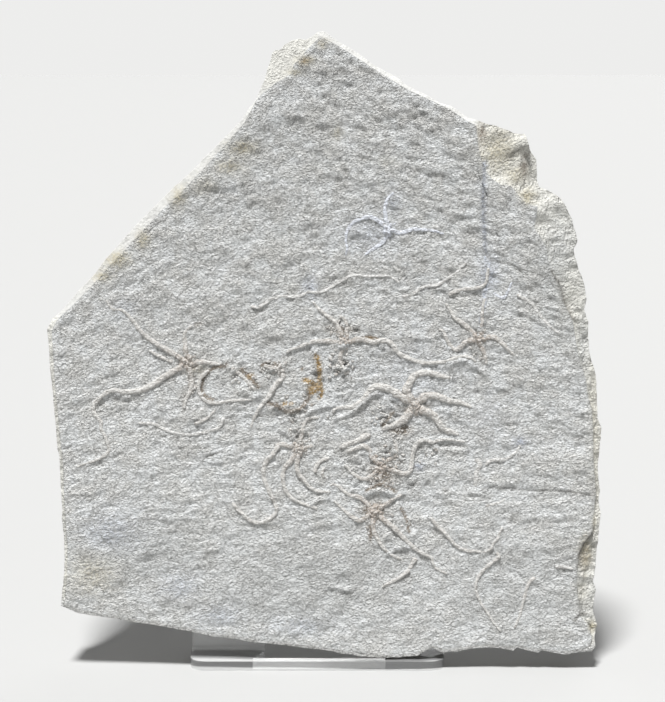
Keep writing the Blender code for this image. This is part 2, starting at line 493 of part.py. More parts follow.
def make_easel(material):
    """One bent sheet: cells between rows and columns, each with two faces, walled at every edge."""
    builder = bmesh.new()
    left, right = EASEL_LEFT + X_SHIFT, EASEL_RIGHT + X_SHIFT
    tongue_left, tongue_right = TONGUE_LEFT + X_SHIFT, TONGUE_RIGHT + X_SHIFT

    def pair(x, near, far):
        near_vertex = builder.verts.new(Vector((x, *near)) * MM)
        far_vertex = builder.verts.new(Vector((x, *far)) * MM)
        return near_vertex, far_vertex

    rows = sheet_rows()
    grid = []
    for near, far, cut, flare in rows:
        flare = NOTCH_FLARE if flare is None else flare
        columns = (left + cut, tongue_left - flare, tongue_left, tongue_right,
                   tongue_right + flare, right - cut)
        grid.append([pair(x, near, far) for x in columns])

    first_open = next(i for i, row in enumerate(rows) if row[3] is not None)
    hinge_row = len(rows) - 6
    cells = []
    for i in range(len(grid) - 1):
        is_open = first_open <= i < hinge_row
        for j in range(5):
            if not (is_open and 1 <= j <= 3):
                cells.append((grid[i][j], grid[i][j + 1], grid[i + 1][j + 1], grid[i + 1][j]))

    above = grid[hinge_row][2:4]
    for near, far in tongue_rows():
        below = [pair(tongue_left, near, far), pair(tongue_right, near, far)]
        cells.append((above[0], above[1], below[1], below[0]))
        above = below

    edge_use = {}
    for cell in cells:
        builder.faces.new([corner[0] for corner in cell])
        builder.faces.new([corner[1] for corner in reversed(cell)])
        for a, b in zip(cell, cell[1:] + cell[:1]):
            edge_use.setdefault(frozenset((a, b)), []).append((a, b))
    for uses in edge_use.values():
        if len(uses) == 1:
            a, b = uses[0]
            builder.faces.new((a[0], b[0], b[1], a[1]))
    unused = [vertex for vertex in builder.verts if not vertex.link_faces]
    bmesh.ops.delete(builder, geom=unused, context="VERTS")
    close_shape(builder)
    return add_object("acrylic_easel", builder, material)


def main():
    clear_scene()
    limestone = make_material("limestone", (0.46, 0.46, 0.45), 0.9)
    acrylic = make_material("clear_acrylic", (0.95, 0.97, 0.97), 0.05, transmission=1.0)

    lean = bpy.data.objects.new("face_frame", None)
    lean.location = Vector((X_SHIFT, Y_FACE, Z_FACE)) * MM
    lean.rotation_euler = (-LEAN, 0.0, 0.0)
    bpy.context.scene.collection.objects.link(lean)

    make_slab(limestone, lean)
    for name, (centre, radius, arms) in STARS.items():
        calcite = make_material(f"{name}_calcite", STAR_COLOUR[name], 0.75)
        make_star(name, centre, radius, arms, calcite, lean)
    for name, (root_width, tip_width, route) in LOOSE_ARMS.items():
        calcite = make_material(f"{name}_calcite", LOOSE_ARM_COLOUR, 0.75)
        make_arm(name, root_width, tip_width, route, calcite, lean)
    make_easel(acrylic)


main()
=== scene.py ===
"""A slab of pale limestone with fossil brittle stars, leaning on a clear acrylic easel.

Places are in millimetres in the slab's face frame, which leans back about the world's X axis:
s runs right along the face, t runs up the face and depth runs back into the stone.
"""
import math

import bmesh
import bpy
import numpy as np
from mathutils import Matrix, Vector


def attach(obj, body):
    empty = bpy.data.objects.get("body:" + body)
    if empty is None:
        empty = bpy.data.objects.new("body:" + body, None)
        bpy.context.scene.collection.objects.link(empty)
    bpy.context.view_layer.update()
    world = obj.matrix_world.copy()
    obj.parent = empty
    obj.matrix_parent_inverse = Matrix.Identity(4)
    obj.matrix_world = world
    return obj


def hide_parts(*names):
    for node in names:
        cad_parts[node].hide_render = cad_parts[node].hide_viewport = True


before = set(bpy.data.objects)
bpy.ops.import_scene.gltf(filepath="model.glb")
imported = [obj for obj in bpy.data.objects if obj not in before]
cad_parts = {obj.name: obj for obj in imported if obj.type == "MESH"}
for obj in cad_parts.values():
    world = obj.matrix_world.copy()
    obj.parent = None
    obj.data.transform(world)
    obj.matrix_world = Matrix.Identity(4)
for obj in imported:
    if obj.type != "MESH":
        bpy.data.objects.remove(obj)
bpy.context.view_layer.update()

bl_info = {
    "name": "Fossil brittle star slab",
    "version": (1, 0, 0),
    "blender": (4, 5, 0),
    "location": "View3D > Sidebar > Fossil",
    "description": "Limestone slab with fossil brittle stars on an acrylic easel",
    "category": "Object",
}

MM = 0.001
FULL_TURN = 2.0 * math.pi
LEAN = math.radians(10.0)
X_SHIFT = 2.05
Y_FACE = -25.47
Z_FACE = 3.03
SLAB_THICKNESS = 9.0
# Where the face's vertices lie closest together, as shares of the way across it and up it
FINEST_ACROSS = 0.55
FINEST_UP = 0.42

# Slab outline (s, t), anticlockwise from the bottom left corner
OUTLINE = [
    (-67.9, 13.0), (-66.0, 12.3), (-63.7, 11.2), (-59.3, 10.5), (-55.0, 10.0), (-52.3, 9.5),
    (-49.7, 8.8), (-45.7, 8.4), (-41.7, 7.7), (-35.7, 6.6), (-30.0, 5.3), (-25.0, 4.8), (-19.8, 3.9),
    (-16.1, 3.6), (-10.1, 2.9), (-5.8, 2.3), (-2.3, 2.0), (0.3, 1.6), (1.6, 1.1), (5.0, 0.8),
    (6.8, 0.4), (10.3, 0.1), (13.3, 0.0), (17.6, 0.2), (21.1, 0.5), (23.7, 2.0), (25.0, 2.5),
    (27.6, 1.2), (28.2, 1.4), (31.5, 1.5), (33.2, 2.0), (35.0, 2.3), (38.8, 2.6), (41.6, 2.5),
    (45.2, 1.7), (46.1, 2.6), (50.2, 1.5), (51.6, 1.2), (52.2, 1.9), (58.0, 0.8), (61.4, 1.4),
    (65.0, 1.6), (65.8, 2.8), (65.6, 5.2), (66.4, 8.0), (65.4, 11.2), (65.5, 14.0), (66.2, 16.8),
    (65.4, 19.2), (66.0, 22.0), (66.2, 26.0), (66.6, 29.6), (66.8, 32.8), (67.2, 36.0), (66.6, 39.2),
    (67.0, 41.6), (66.6, 44.8), (66.4, 47.6), (66.8, 51.2), (67.2, 54.8), (67.4, 57.6), (66.4, 60.0),
    (66.4, 62.8), (66.2, 67.2), (66.0, 70.8), (65.2, 73.6), (64.4, 76.4), (64.2, 80.0), (64.2, 84.0),
    (63.2, 87.2), (63.8, 89.6), (63.2, 94.0), (62.0, 96.8), (61.0, 100.4), (60.6, 102.4), (61.6, 104.4),
    (61.0, 107.2), (60.0, 110.4), (57.6, 115.0), (54.8, 116.8), (52.0, 118.2), (51.6, 120.0),
    (51.4, 125.2), (50.0, 127.0), (49.2, 128.4), (48.8, 130.6), (48.3, 131.5), (46.4, 131.5),
    (44.8, 131.8), (42.8, 132.6), (40.4, 133.6), (38.8, 133.5), (37.6, 134.2), (35.6, 134.9),
    (34.0, 135.1), (31.6, 137.0), (29.6, 138.2), (26.8, 138.9), (24.0, 140.6), (21.6, 141.7),
    (19.2, 143.0), (17.2, 144.4), (15.0, 146.1), (13.2, 146.8), (10.0, 148.7), (7.6, 150.5),
    (4.8, 152.4), (2.0, 154.0), (-0.4, 155.6), (-2.2, 156.8), (-3.6, 156.7), (-5.2, 155.4),
    (-6.8, 154.6), (-8.4, 155.0), (-10.4, 154.5), (-12.0, 153.6), (-13.0, 152.2), (-14.6, 152.2),
    (-15.1, 151.6), (-15.5, 149.6), (-16.4, 147.2), (-16.9, 144.8), (-18.0, 142.4), (-19.2, 139.6),
    (-21.2, 137.0), (-22.8, 134.6), (-25.0, 132.2), (-27.2, 130.0), (-30.0, 127.2), (-32.4, 124.8),
    (-34.8, 122.2), (-37.6, 119.6), (-40.0, 117.6), (-42.5, 115.0), (-45.0, 112.5), (-47.7, 109.8),
    (-50.0, 107.5), (-52.0, 105.2), (-55.0, 101.7), (-57.3, 99.2), (-59.3, 96.3), (-61.0, 94.5),
    (-63.7, 91.7), (-65.3, 89.8), (-68.3, 86.3), (-70.0, 85.0), (-71.5, 82.2), (-71.0, 77.3),
    (-70.9, 75.0), (-70.7, 71.7), (-70.3, 68.3), (-69.9, 65.0), (-69.7, 61.7), (-69.3, 58.3),
    (-69.1, 55.0), (-68.9, 52.3), (-68.4, 50.3), (-68.2, 45.0), (-68.0, 41.7), (-67.7, 37.3),
    (-67.8, 34.3), (-67.3, 31.0), (-67.2, 28.0), (-67.1, 25.0), (-67.2, 20.7), (-67.7, 16.7),
]
# Edge of the bedding plane, where the face ends and the broken border starts, the same way round
FACE_EDGE = [
    (-66.9, 13.8), (-63.4, 12.2), (-59.1, 11.4), (-49.5, 9.8), (-41.5, 8.6), (-29.9, 6.5), (-24.5, 5.7),
    (-16.9, 4.5), (-8.7, 3.5), (0.1, 2.4), (9.6, 0.9), (15.0, 0.8), (21.6, 1.4), (25.1, 3.2),
    (28.2, 2.3), (32.6, 2.8), (38.4, 3.5), (42.0, 3.1), (47.0, 3.0), (52.6, 2.3), (57.8, 1.7),
    (63.2, 2.5), (64.4, 3.4), (64.8, 4.8), (64.2, 8.0), (61.8, 10.4), (61.6, 14.0), (61.0, 17.6),
    (61.2, 22.0), (61.6, 25.6), (62.8, 28.4), (64.8, 30.8), (65.2, 32.8), (65.4, 37.6), (65.9, 41.0),
    (65.5, 46.0), (65.2, 50.0), (65.2, 56.0), (65.0, 60.0), (64.8, 62.0), (63.8, 66.0), (63.2, 70.0),
    (62.0, 73.6), (61.2, 76.8), (60.6, 80.8), (60.0, 84.8), (58.0, 88.4), (57.2, 92.8), (54.8, 96.4),
    (54.0, 99.2), (53.4, 102.8), (52.0, 105.2), (50.4, 107.6), (51.0, 110.4), (51.2, 112.8),
    (48.0, 114.0), (46.0, 116.4), (44.8, 118.0), (42.0, 118.4), (39.6, 120.0), (38.0, 122.4),
    (36.8, 126.0), (36.2, 130.0), (35.9, 133.2), (33.6, 134.3), (29.2, 137.3), (23.5, 139.9),
    (18.7, 142.1), (12.6, 145.8), (6.8, 149.6), (1.7, 152.9), (-3.0, 155.4), (-4.8, 153.6),
    (-6.8, 151.6), (-9.6, 148.4), (-10.4, 146.0), (-14.4, 143.6), (-17.0, 141.6), (-18.8, 139.6),
    (-22.0, 133.8), (-26.3, 128.9), (-31.2, 123.4), (-36.4, 117.9), (-41.1, 113.5), (-46.1, 108.3),
    (-50.3, 103.8), (-55.8, 98.0), (-59.8, 93.3), (-64.3, 88.8), (-69.0, 84.4), (-70.2, 81.8),
    (-69.9, 77.3), (-69.4, 69.0), (-68.7, 61.6), (-68.1, 54.6), (-67.4, 49.8), (-67.1, 42.4),
    (-66.8, 35.6), (-66.2, 28.0), (-66.4, 20.0),
]
# Corners of the face edge and of the outline that lie side by side: their places in the tables
SIDE_BY_SIDE = [
    (0, 0), (9, 17), (13, 26), (22, 42), (27, 47), (32, 52), (37, 59), (41, 64), (45, 68), (48, 72),
    (50, 74), (54, 78), (57, 80), (60, 83), (61, 86), (63, 92), (67, 100), (71, 109), (73, 113),
    (75, 117), (76, 120), (78, 123), (79, 125), (84, 135), (87, 141), (90, 146), (92, 150), (96, 158),
]
# Where the face's four corners are in its table: bottom left, bottom right, top right, top left
FACE_CORNERS = (0, 22, 54, 90)
# Crease up the middle of the chip at the upper right
CHIP_CREASE = [(43.6, 124.6), (44.6, 125.6), (45.6, 126.5), (46.5, 127.2)]
# Where parts of the border begin, in s or t (for LEFT_OF in -s), and the way over which they fade in
CHIP_ABOVE, CHIP_RIGHT_OF = (117.0, 2.5), (36.0, 1.5)
CHIP_TIP_ABOVE, CHIP_TIP_RIGHT_OF = (127.4, 1.0), (44.6, 1.2)
LONG_LEFT_ABOVE, LONG_LEFT_LEFT_OF = (82.0, 4.0), (-4.0, 6.0)
EAR_ABOVE, EAR_LEFT_OF = (141.0, 3.0), (3.0, 3.0)
TOP_ABOVE, RIGHT_RIGHT_OF = (130.0, 4.0), (46.0, 4.0)

# For each star its disc's centre and radius, how brown it is, its arms and its heaps of broken
# plates. An arm is root width, tip width and route; a heap is centre, spread, number and seed.
STARS = {
    "brittle_star_left": ((-36.4, 73.8), 2.5, 0.65, [
        (1.4, 0.5, [(-37.2, 74.6), (-40.5, 76.5), (-42.9, 77.9), (-44.9, 79.2), (-46.9, 80.6),
            (-48.5, 82.4), (-49.8, 84.2), (-51.2, 85.8), (-52.6, 86.9), (-54.7, 87.1), (-55.9, 88.2),
            (-56.6, 89.6)]),
        (1.5, 0.5, [(-37.2, 72.9), (-39.7, 71.7), (-41.8, 70.4), (-43.7, 69.2), (-45.6, 67.9),
            (-47.6, 67.0), (-50.2, 66.6), (-52.8, 66.5), (-54.4, 66.9), (-56.0, 66.6), (-57.5, 65.6),
            (-58.9, 64.3), (-59.7, 63.0), (-59.7, 61.5), (-58.9, 60.2), (-57.9, 59.0), (-57.8, 57.2),
            (-56.8, 55.2), (-56.1, 53.2), (-55.9, 51.8), (-57.1, 50.5), (-59.2, 49.4), (-61.7, 48.6),
            (-64.0, 47.7)]),
        (1.4, 0.6, [(-36.5, 74.8), (-36.8, 78.3), (-37.0, 80.6), (-36.4, 82.0), (-35.1, 83.2)]),
        (1.4, 0.6, [(-36.0, 73.0), (-35.3, 70.0), (-35.2, 68.0), (-35.8, 66.2), (-36.7, 64.4),
            (-37.0, 62.2)]),
        (1.5, 0.7, [(-35.4, 73.8), (-32.5, 74.0), (-30.4, 73.7), (-28.0, 73.4)])], [
        ((-36.4, 73.8), 1.5, 26, 1), ((-34.6, 68.0), 1.0, 8, 2)]),
    "brittle_star_upper_middle": ((3.2, 79.2), 2.3, 0.7, [
        (1.4, 0.5, [(2.2, 79.0), (-2.2, 79.2), (-4.8, 79.1), (-6.8, 78.4), (-8.8, 77.6), (-10.6, 77.0),
            (-11.6, 76.2)]),
        (1.3, 0.6, [(2.6, 80.2), (1.2, 83.2), (-0.2, 84.6), (-1.8, 85.9), (-3.6, 87.4), (-5.0, 89.2)]),
        (1.4, 0.6, [(4.2, 79.2), (6.6, 79.7), (8.4, 79.4), (10.2, 78.9), (12.0, 79.3), (13.5, 79.3),
            (14.9, 78.4), (15.8, 77.0), (17.1, 75.8), (18.9, 75.0), (21.0, 74.2), (23.0, 73.8),
            (25.6, 73.8), (28.6, 74.2), (30.6, 75.0), (33.0, 75.4), (34.9, 74.8), (36.0, 73.9)]),
        (1.2, 0.6, [(3.4, 80.2), (3.5, 83.4), (2.2, 85.6)]),
        (1.2, 0.6, [(2.9, 78.2), (1.8, 74.6), (2.8, 72.4), (3.4, 70.6)])], [
        ((2.4, 79.6), 1.6, 26, 3), ((2.2, 73.0), 1.7, 46, 4), ((1.0, 83.0), 1.4, 16, 5)]),
    "brittle_star_right": ((36.6, 79.8), 2.3, 0.8, [
        (1.4, 0.6, [(35.9, 80.5), (33.8, 82.6), (31.9, 84.1), (30.5, 85.0), (29.7, 86.5), (28.8, 87.8),
            (28.3, 88.7)]),
        (1.2, 0.7, [(36.7, 80.8), (37.3, 84.0), (37.4, 86.0), (37.6, 88.0), (38.1, 90.0)]),
        (1.4, 0.6, [(37.6, 80.0), (40.1, 80.2), (41.8, 79.2), (43.1, 78.0), (44.3, 76.6),
            (45.8, 75.6)]),
        (1.4, 0.6, [(35.6, 79.6), (33.5, 79.1), (31.9, 77.6), (30.6, 77.1), (29.3, 78.3), (28.4, 80.0),
            (27.6, 81.7), (26.4, 82.2)]),
        (1.3, 0.7, [(36.9, 78.8), (37.8, 76.4), (38.3, 74.8), (38.5, 73.4)])], [
        ((36.6, 79.8), 1.3, 24, 6), ((37.4, 76.0), 1.2, 12, 7)]),
    "brittle_star_thick_armed": ((20.6, 63.0), 2.6, 0.6, [
        (2.1, 0.8, [(19.8, 63.8), (17.2, 65.4), (15.7, 66.3), (14.4, 67.1), (12.9, 67.6), (10.9, 67.8),
            (9.7, 67.2), (8.8, 66.0), (8.0, 64.9), (6.7, 63.7), (5.3, 62.8), (3.0, 62.6), (0.8, 62.4),
            (0.1, 61.2)]),
        (2.2, 1.0, [(20.0, 64.0), (18.5, 66.8), (19.2, 68.6), (20.2, 70.2), (21.7, 71.1), (23.5, 71.3),
            (25.1, 71.1), (27.5, 70.4), (29.6, 69.9)]),
        (2.1, 0.8, [(21.4, 63.8), (22.9, 65.2), (24.2, 65.6), (25.9, 65.5), (27.8, 64.8), (29.6, 64.2),
            (31.2, 64.0), (33.0, 63.5), (34.9, 62.6)]),
        (2.2, 0.9, [(21.4, 62.2), (23.7, 61.5), (25.2, 60.7), (26.2, 59.3), (27.2, 57.9), (28.6, 56.8),
            (30.2, 56.4), (31.8, 55.9)]),
        (2.2, 1.0, [(19.9, 62.2), (18.2, 59.9), (16.8, 58.9), (15.2, 58.1), (13.7, 57.7),
            (12.4, 57.0)])], [
        ((20.6, 63.0), 1.5, 26, 8), ((12.6, 60.2), 1.6, 34, 9), ((16.6, 57.2), 1.4, 22, 10),
        ((24.0, 52.6), 2.4, 20, 11)]),
    "brittle_star_brown_middle": ((12.3, 48.0), 2.4, 1.0, [
        (1.4, 0.9, [(11.6, 48.8), (9.9, 50.2), (9.3, 51.8), (8.0, 53.0), (6.6, 52.7), (5.0, 52.1),
            (3.4, 51.5)]),
        (1.3, 0.6, [(11.6, 47.2), (9.4, 45.2), (8.0, 44.7), (6.2, 45.3), (4.9, 46.3), (3.9, 47.5),
            (2.8, 48.2)]),
        (1.3, 0.8, [(12.2, 47.0), (11.9, 45.4), (11.8, 44.2)]),
        (1.2, 0.6, [(12.9, 48.9), (15.3, 50.4), (16.1, 51.8), (15.8, 53.6), (15.1, 54.8)]),
        (1.3, 0.5, [(13.3, 47.7), (16.0, 46.6), (18.0, 46.0), (19.4, 46.7), (19.8, 48.5), (20.0, 50.5),
            (20.6, 52.5), (21.6, 54.1), (23.4, 54.4), (25.0, 53.9), (26.4, 54.4), (28.4, 54.6),
            (30.6, 54.4), (33.2, 54.0)])], [
        ((12.3, 48.0), 1.5, 30, 12), ((12.2, 43.6), 1.7, 24, 13), ((15.0, 50.4), 1.6, 26, 14)]),
    "brittle_star_low_middle": ((10.4, 36.6), 2.4, 1.0, [
        (1.3, 0.6, [(11.3, 37.2), (13.6, 38.6), (15.2, 39.8), (16.8, 40.6), (18.0, 41.8)]),
        (1.3, 0.5, [(9.7, 37.4), (7.7, 39.5), (6.6, 40.2), (5.0, 40.5), (3.5, 41.2), (2.2, 42.3),
            (1.2, 43.1), (0.1, 43.4), (-0.9, 43.0)]),
        (1.3, 0.5, [(9.6, 36.0), (7.0, 34.4), (5.8, 34.7), (4.2, 35.8), (2.7, 37.1), (1.3, 38.4),
            (0.3, 39.4)]),
        (1.3, 0.5, [(10.2, 35.5), (10.2, 32.4), (10.9, 30.4), (11.7, 29.0), (12.4, 28.0), (13.5, 26.7),
            (15.1, 25.6), (17.0, 24.7), (17.8, 24.1)]),
        (1.4, 0.5, [(11.3, 36.0), (13.2, 34.1), (14.8, 33.0), (16.3, 31.6), (17.7, 30.1), (19.1, 28.8),
            (20.9, 27.1), (23.2, 25.8), (24.8, 25.0), (25.0, 23.9), (25.8, 22.6), (27.2, 21.7),
            (28.7, 21.1)])], [
        ((10.4, 36.6), 1.4, 26, 15), ((9.8, 33.2), 0.8, 10, 16), ((17.6, 33.0), 1.6, 12, 17)]),
    "brittle_star_curled": ((-8.3, 52.4), 2.2, 0.6, [
        (1.2, 0.9, [(-9.3, 52.6), (-12.9, 53.4), (-14.1, 52.1), (-15.2, 50.6), (-16.4, 49.4),
            (-17.1, 47.6), (-17.2, 45.6), (-16.8, 43.8), (-16.0, 42.2), (-15.3, 40.5), (-14.5, 38.9),
            (-14.0, 37.4), (-14.3, 36.1), (-15.4, 35.0), (-16.8, 34.2), (-18.4, 33.8), (-20.0, 34.1),
            (-21.4, 35.0), (-22.8, 36.3), (-24.1, 37.6), (-25.0, 38.9)]),
        (1.3, 0.6, [(-9.0, 51.6), (-10.4, 49.2), (-11.5, 48.2), (-12.2, 46.8), (-12.4, 44.8),
            (-12.0, 42.7), (-11.1, 40.9), (-9.5, 39.5), (-7.5, 38.6), (-5.4, 37.9), (-3.6, 37.2)]),
        (1.3, 0.6, [(-8.4, 51.4), (-8.9, 48.0), (-8.3, 45.8), (-7.0, 44.3), (-5.9, 42.9), (-4.5, 42.0),
            (-2.7, 41.6), (-0.4, 41.5)]),
        (1.2, 0.6, [(-8.2, 53.4), (-7.6, 56.4), (-7.2, 58.2), (-6.4, 59.6), (-4.9, 60.1),
            (-3.4, 59.9)]),
        (1.2, 0.7, [(-7.3, 52.6), (-4.4, 53.2)])], [
        ((-8.3, 53.4), 1.5, 34, 18), ((-8.6, 58.0), 1.6, 22, 19), ((-4.4, 63.4), 1.9, 26, 20)]),
    "brittle_star_small_broken": ((-13.6, 72.0), 1.8, 0.2, [
        (1.4, 0.6, [(-12.8, 71.6), (-12.4, 70.2), (-13.9, 68.6), (-15.0, 66.9), (-15.9, 65.4),
            (-17.2, 63.8), (-18.4, 62.2), (-19.3, 60.6), (-19.9, 59.2), (-20.5, 57.4)]),
        (1.5, 0.8, [(-14.4, 72.2), (-17.3, 73.2)])], [
        ((-13.8, 72.2), 1.3, 22, 21), ((-16.6, 72.9), 0.9, 14, 22), ((-11.0, 62.4), 1.8, 18, 23),
        ((-22.4, 69.4), 1.8, 18, 24)]),
    "brittle_star_faint_upper": ((14.0, 107.0), 1.8, 0.0, [
        (1.2, 0.5, [(13.4, 107.6), (11.9, 109.0), (9.9, 110.1), (7.6, 110.0), (5.2, 108.8),
            (3.6, 106.6), (3.3, 104.4), (3.7, 102.4), (3.2, 100.6)]),
        (1.2, 0.5, [(13.6, 106.3), (12.8, 104.2), (10.4, 102.4), (8.0, 100.8)]),
        (1.2, 0.5, [(14.8, 106.8), (17.4, 106.3), (19.8, 107.1), (22.2, 107.1), (24.8, 106.9),
            (28.0, 106.0)]),
        (1.2, 0.5, [(13.9, 107.8), (13.3, 110.4), (13.1, 112.6), (13.8, 114.8), (15.4, 116.4)])], [
        ((14.0, 107.0), 0.9, 7, 25)]),
}
# Arms that lie apart from any disc
LOOSE_ARMS = {
    "loose_arm_beside_left_star": (1.0, 0.6, [(-39.8, 74.0), (-41.9, 74.8), (-44.0, 75.8),
        (-46.0, 77.0)]),
    "loose_arm_hooked_left": (1.0, 0.6, [(-30.8, 72.0), (-31.9, 71.1), (-33.0, 69.9), (-33.4, 68.3),
        (-33.4, 66.7), (-32.6, 65.2), (-31.4, 64.1), (-29.8, 63.7), (-27.6, 63.9), (-25.2, 64.3),
        (-22.4, 64.5), (-19.8, 64.7), (-17.8, 65.6)]),
    "loose_arm_lower_left": (0.7, 0.9, [(-48.7, 58.8), (-45.0, 58.5), (-43.0, 57.7), (-40.3, 56.5),
        (-37.7, 56.0), (-34.7, 55.9), (-30.9, 56.7), (-28.8, 57.4), (-27.5, 59.0), (-27.2, 60.5)]),
    "loose_arm_short_left": (0.8, 0.6, [(-34.6, 58.4), (-33.2, 59.0), (-31.4, 59.9), (-30.0, 61.2),
        (-29.2, 62.2)]),
    "loose_arm_slanting_left": (1.1, 0.8, [(-25.4, 72.7), (-23.3, 71.0), (-21.7, 69.5), (-20.4, 68.1),
        (-19.2, 66.9)]),
    "loose_arm_thick_middle": (1.6, 0.9, [(9.6, 55.2), (8.4, 55.5), (7.0, 54.7), (5.2, 53.9),
        (3.3, 53.2), (1.6, 52.6)]),
    "loose_arm_curved_outer": (1.0, 0.8, [(-4.5, 46.2), (-4.2, 47.6), (-3.3, 48.9), (-2.0, 49.7),
        (-0.7, 49.9)]),
    "loose_arm_curved_inner": (0.9, 0.7, [(-2.2, 44.9), (-2.5, 46.4), (-2.0, 47.8)]),
    "loose_arm_forked_low": (1.1, 0.6, [(21.0, 25.0), (20.2, 24.0), (19.6, 22.9), (18.9, 21.8),
        (17.3, 20.5), (15.7, 19.5), (14.1, 18.7), (12.3, 17.7)]),
    "loose_arm_long_low_right": (1.0, 0.6, [(24.5, 35.2), (25.9, 33.3), (27.7, 31.6), (29.1, 30.1),
        (30.3, 28.6), (31.8, 27.5), (33.6, 26.9), (35.9, 26.7), (38.1, 26.7), (39.5, 27.2),
        (40.2, 28.6), (41.3, 29.9), (41.8, 31.2), (42.5, 32.8)]),
    "loose_arm_s_shaped": (0.9, 0.5, [(41.0, 26.4), (41.6, 25.4), (40.4, 24.2), (38.4, 22.6),
        (36.8, 20.8), (35.9, 18.8), (36.0, 16.4), (37.2, 13.6), (38.8, 11.2), (40.4, 8.6),
        (42.2, 6.6)]),
    "loose_arm_bottom_right": (0.9, 0.6, [(50.7, 20.2), (49.2, 18.9), (48.4, 16.8), (47.8, 14.6),
        (47.2, 12.0), (46.4, 9.6), (45.4, 7.4)]),
    "loose_arm_upright_right": (1.2, 0.9, [(35.6, 49.8), (36.7, 48.9), (36.7, 47.8), (36.0, 46.7),
        (35.9, 44.8), (35.6, 42.8)]),
    "loose_arm_bent_right": (0.9, 0.6, [(38.2, 48.3), (39.0, 49.0), (40.2, 49.5), (41.6, 49.5),
        (43.1, 49.6), (44.9, 50.7), (46.3, 52.0), (46.9, 53.3)]),
    "loose_arm_short_right": (0.8, 0.6, [(38.2, 38.0), (40.0, 38.4), (41.8, 38.8), (43.1, 39.8)]),
    "loose_arm_straight_right": (0.8, 0.6, [(55.7, 22.8), (58.0, 22.7), (60.2, 22.3)]),
    "loose_arm_long_upper": (0.8, 0.6, [(-20.6, 87.9), (-18.6, 87.7), (-16.9, 88.6), (-15.2, 89.8),
        (-12.6, 90.4), (-9.8, 90.3), (-7.4, 90.8), (-6.2, 91.5), (-4.6, 91.4), (-2.4, 91.6),
        (-0.6, 92.6), (1.2, 93.7), (3.0, 94.7), (4.6, 95.6), (6.4, 95.7), (8.2, 95.4), (10.8, 95.5),
        (13.6, 95.5), (15.4, 94.9), (16.6, 93.8)]),
    "loose_arm_upper_right": (0.8, 0.6, [(17.3, 90.2), (18.7, 90.5), (20.4, 91.2), (22.0, 92.4),
        (23.8, 93.0), (25.6, 93.1), (27.4, 93.9), (28.8, 94.9), (30.6, 96.0), (32.0, 97.6),
        (33.6, 98.8)]),
    "loose_arm_angular": (1.0, 0.8, [(29.0, 90.7), (30.4, 91.5), (33.0, 92.2), (35.7, 92.4),
        (37.6, 93.0), (38.5, 94.2), (38.7, 95.8), (39.0, 97.6)]),
    "loose_arm_v_shaped": (0.8, 0.6, [(40.2, 91.3), (41.5, 90.4), (42.8, 90.1), (43.9, 91.8),
        (44.9, 94.1)]),
    "loose_arm_far_right": (0.8, 0.5, [(46.0, 90.9), (48.3, 89.6), (50.2, 88.2), (51.6, 86.0),
        (53.3, 84.0), (55.2, 82.2), (57.0, 81.0)]),
}
# Animals and arms that are worn nearly level with the bedding plane
FAINT = ("brittle_star_faint_upper", "loose_arm_lower_left", "loose_arm_bent_right",
         "loose_arm_upright_right", "loose_arm_short_right", "loose_arm_straight_right",
         "loose_arm_long_upper", "loose_arm_upper_right", "loose_arm_v_shaped",
         "loose_arm_far_right")
# Those of bluish calcite
BLUISH = ("brittle_star_faint_upper", "loose_arm_v_shaped")
# How brown the loose arms are at their roots, and the way along an arm in which brown fades
LOOSE_ARM_BROWN = 0.15
BROWN_FADES_IN = 3.2
# Share of the wrinkles that is smoothed away beside the fossils
CALM = 0.5
# How far the plane rises beside an arm, and how deep the moat outside the rise is, which also sets
# how much shade is painted in the moat
ARM_BANK, FAINT_BANK = (0.14, 0.03), (0.04, 0.0)
# Shares of the widths and radii above at which arms and discs are built
ARM_SHARE, DISC_SHARE = 0.98, 0.95
# Half an arm's height as a share of its width, and the length of one of its joints
ARM_HEIGHT, FAINT_HEIGHT = 0.25, 0.13
ARM_JOINT = 0.62
# Height of a disc's middle, and depth of the tip of the cone under it
DISC_HEIGHT, DISC_ROOT = 0.50, 0.9
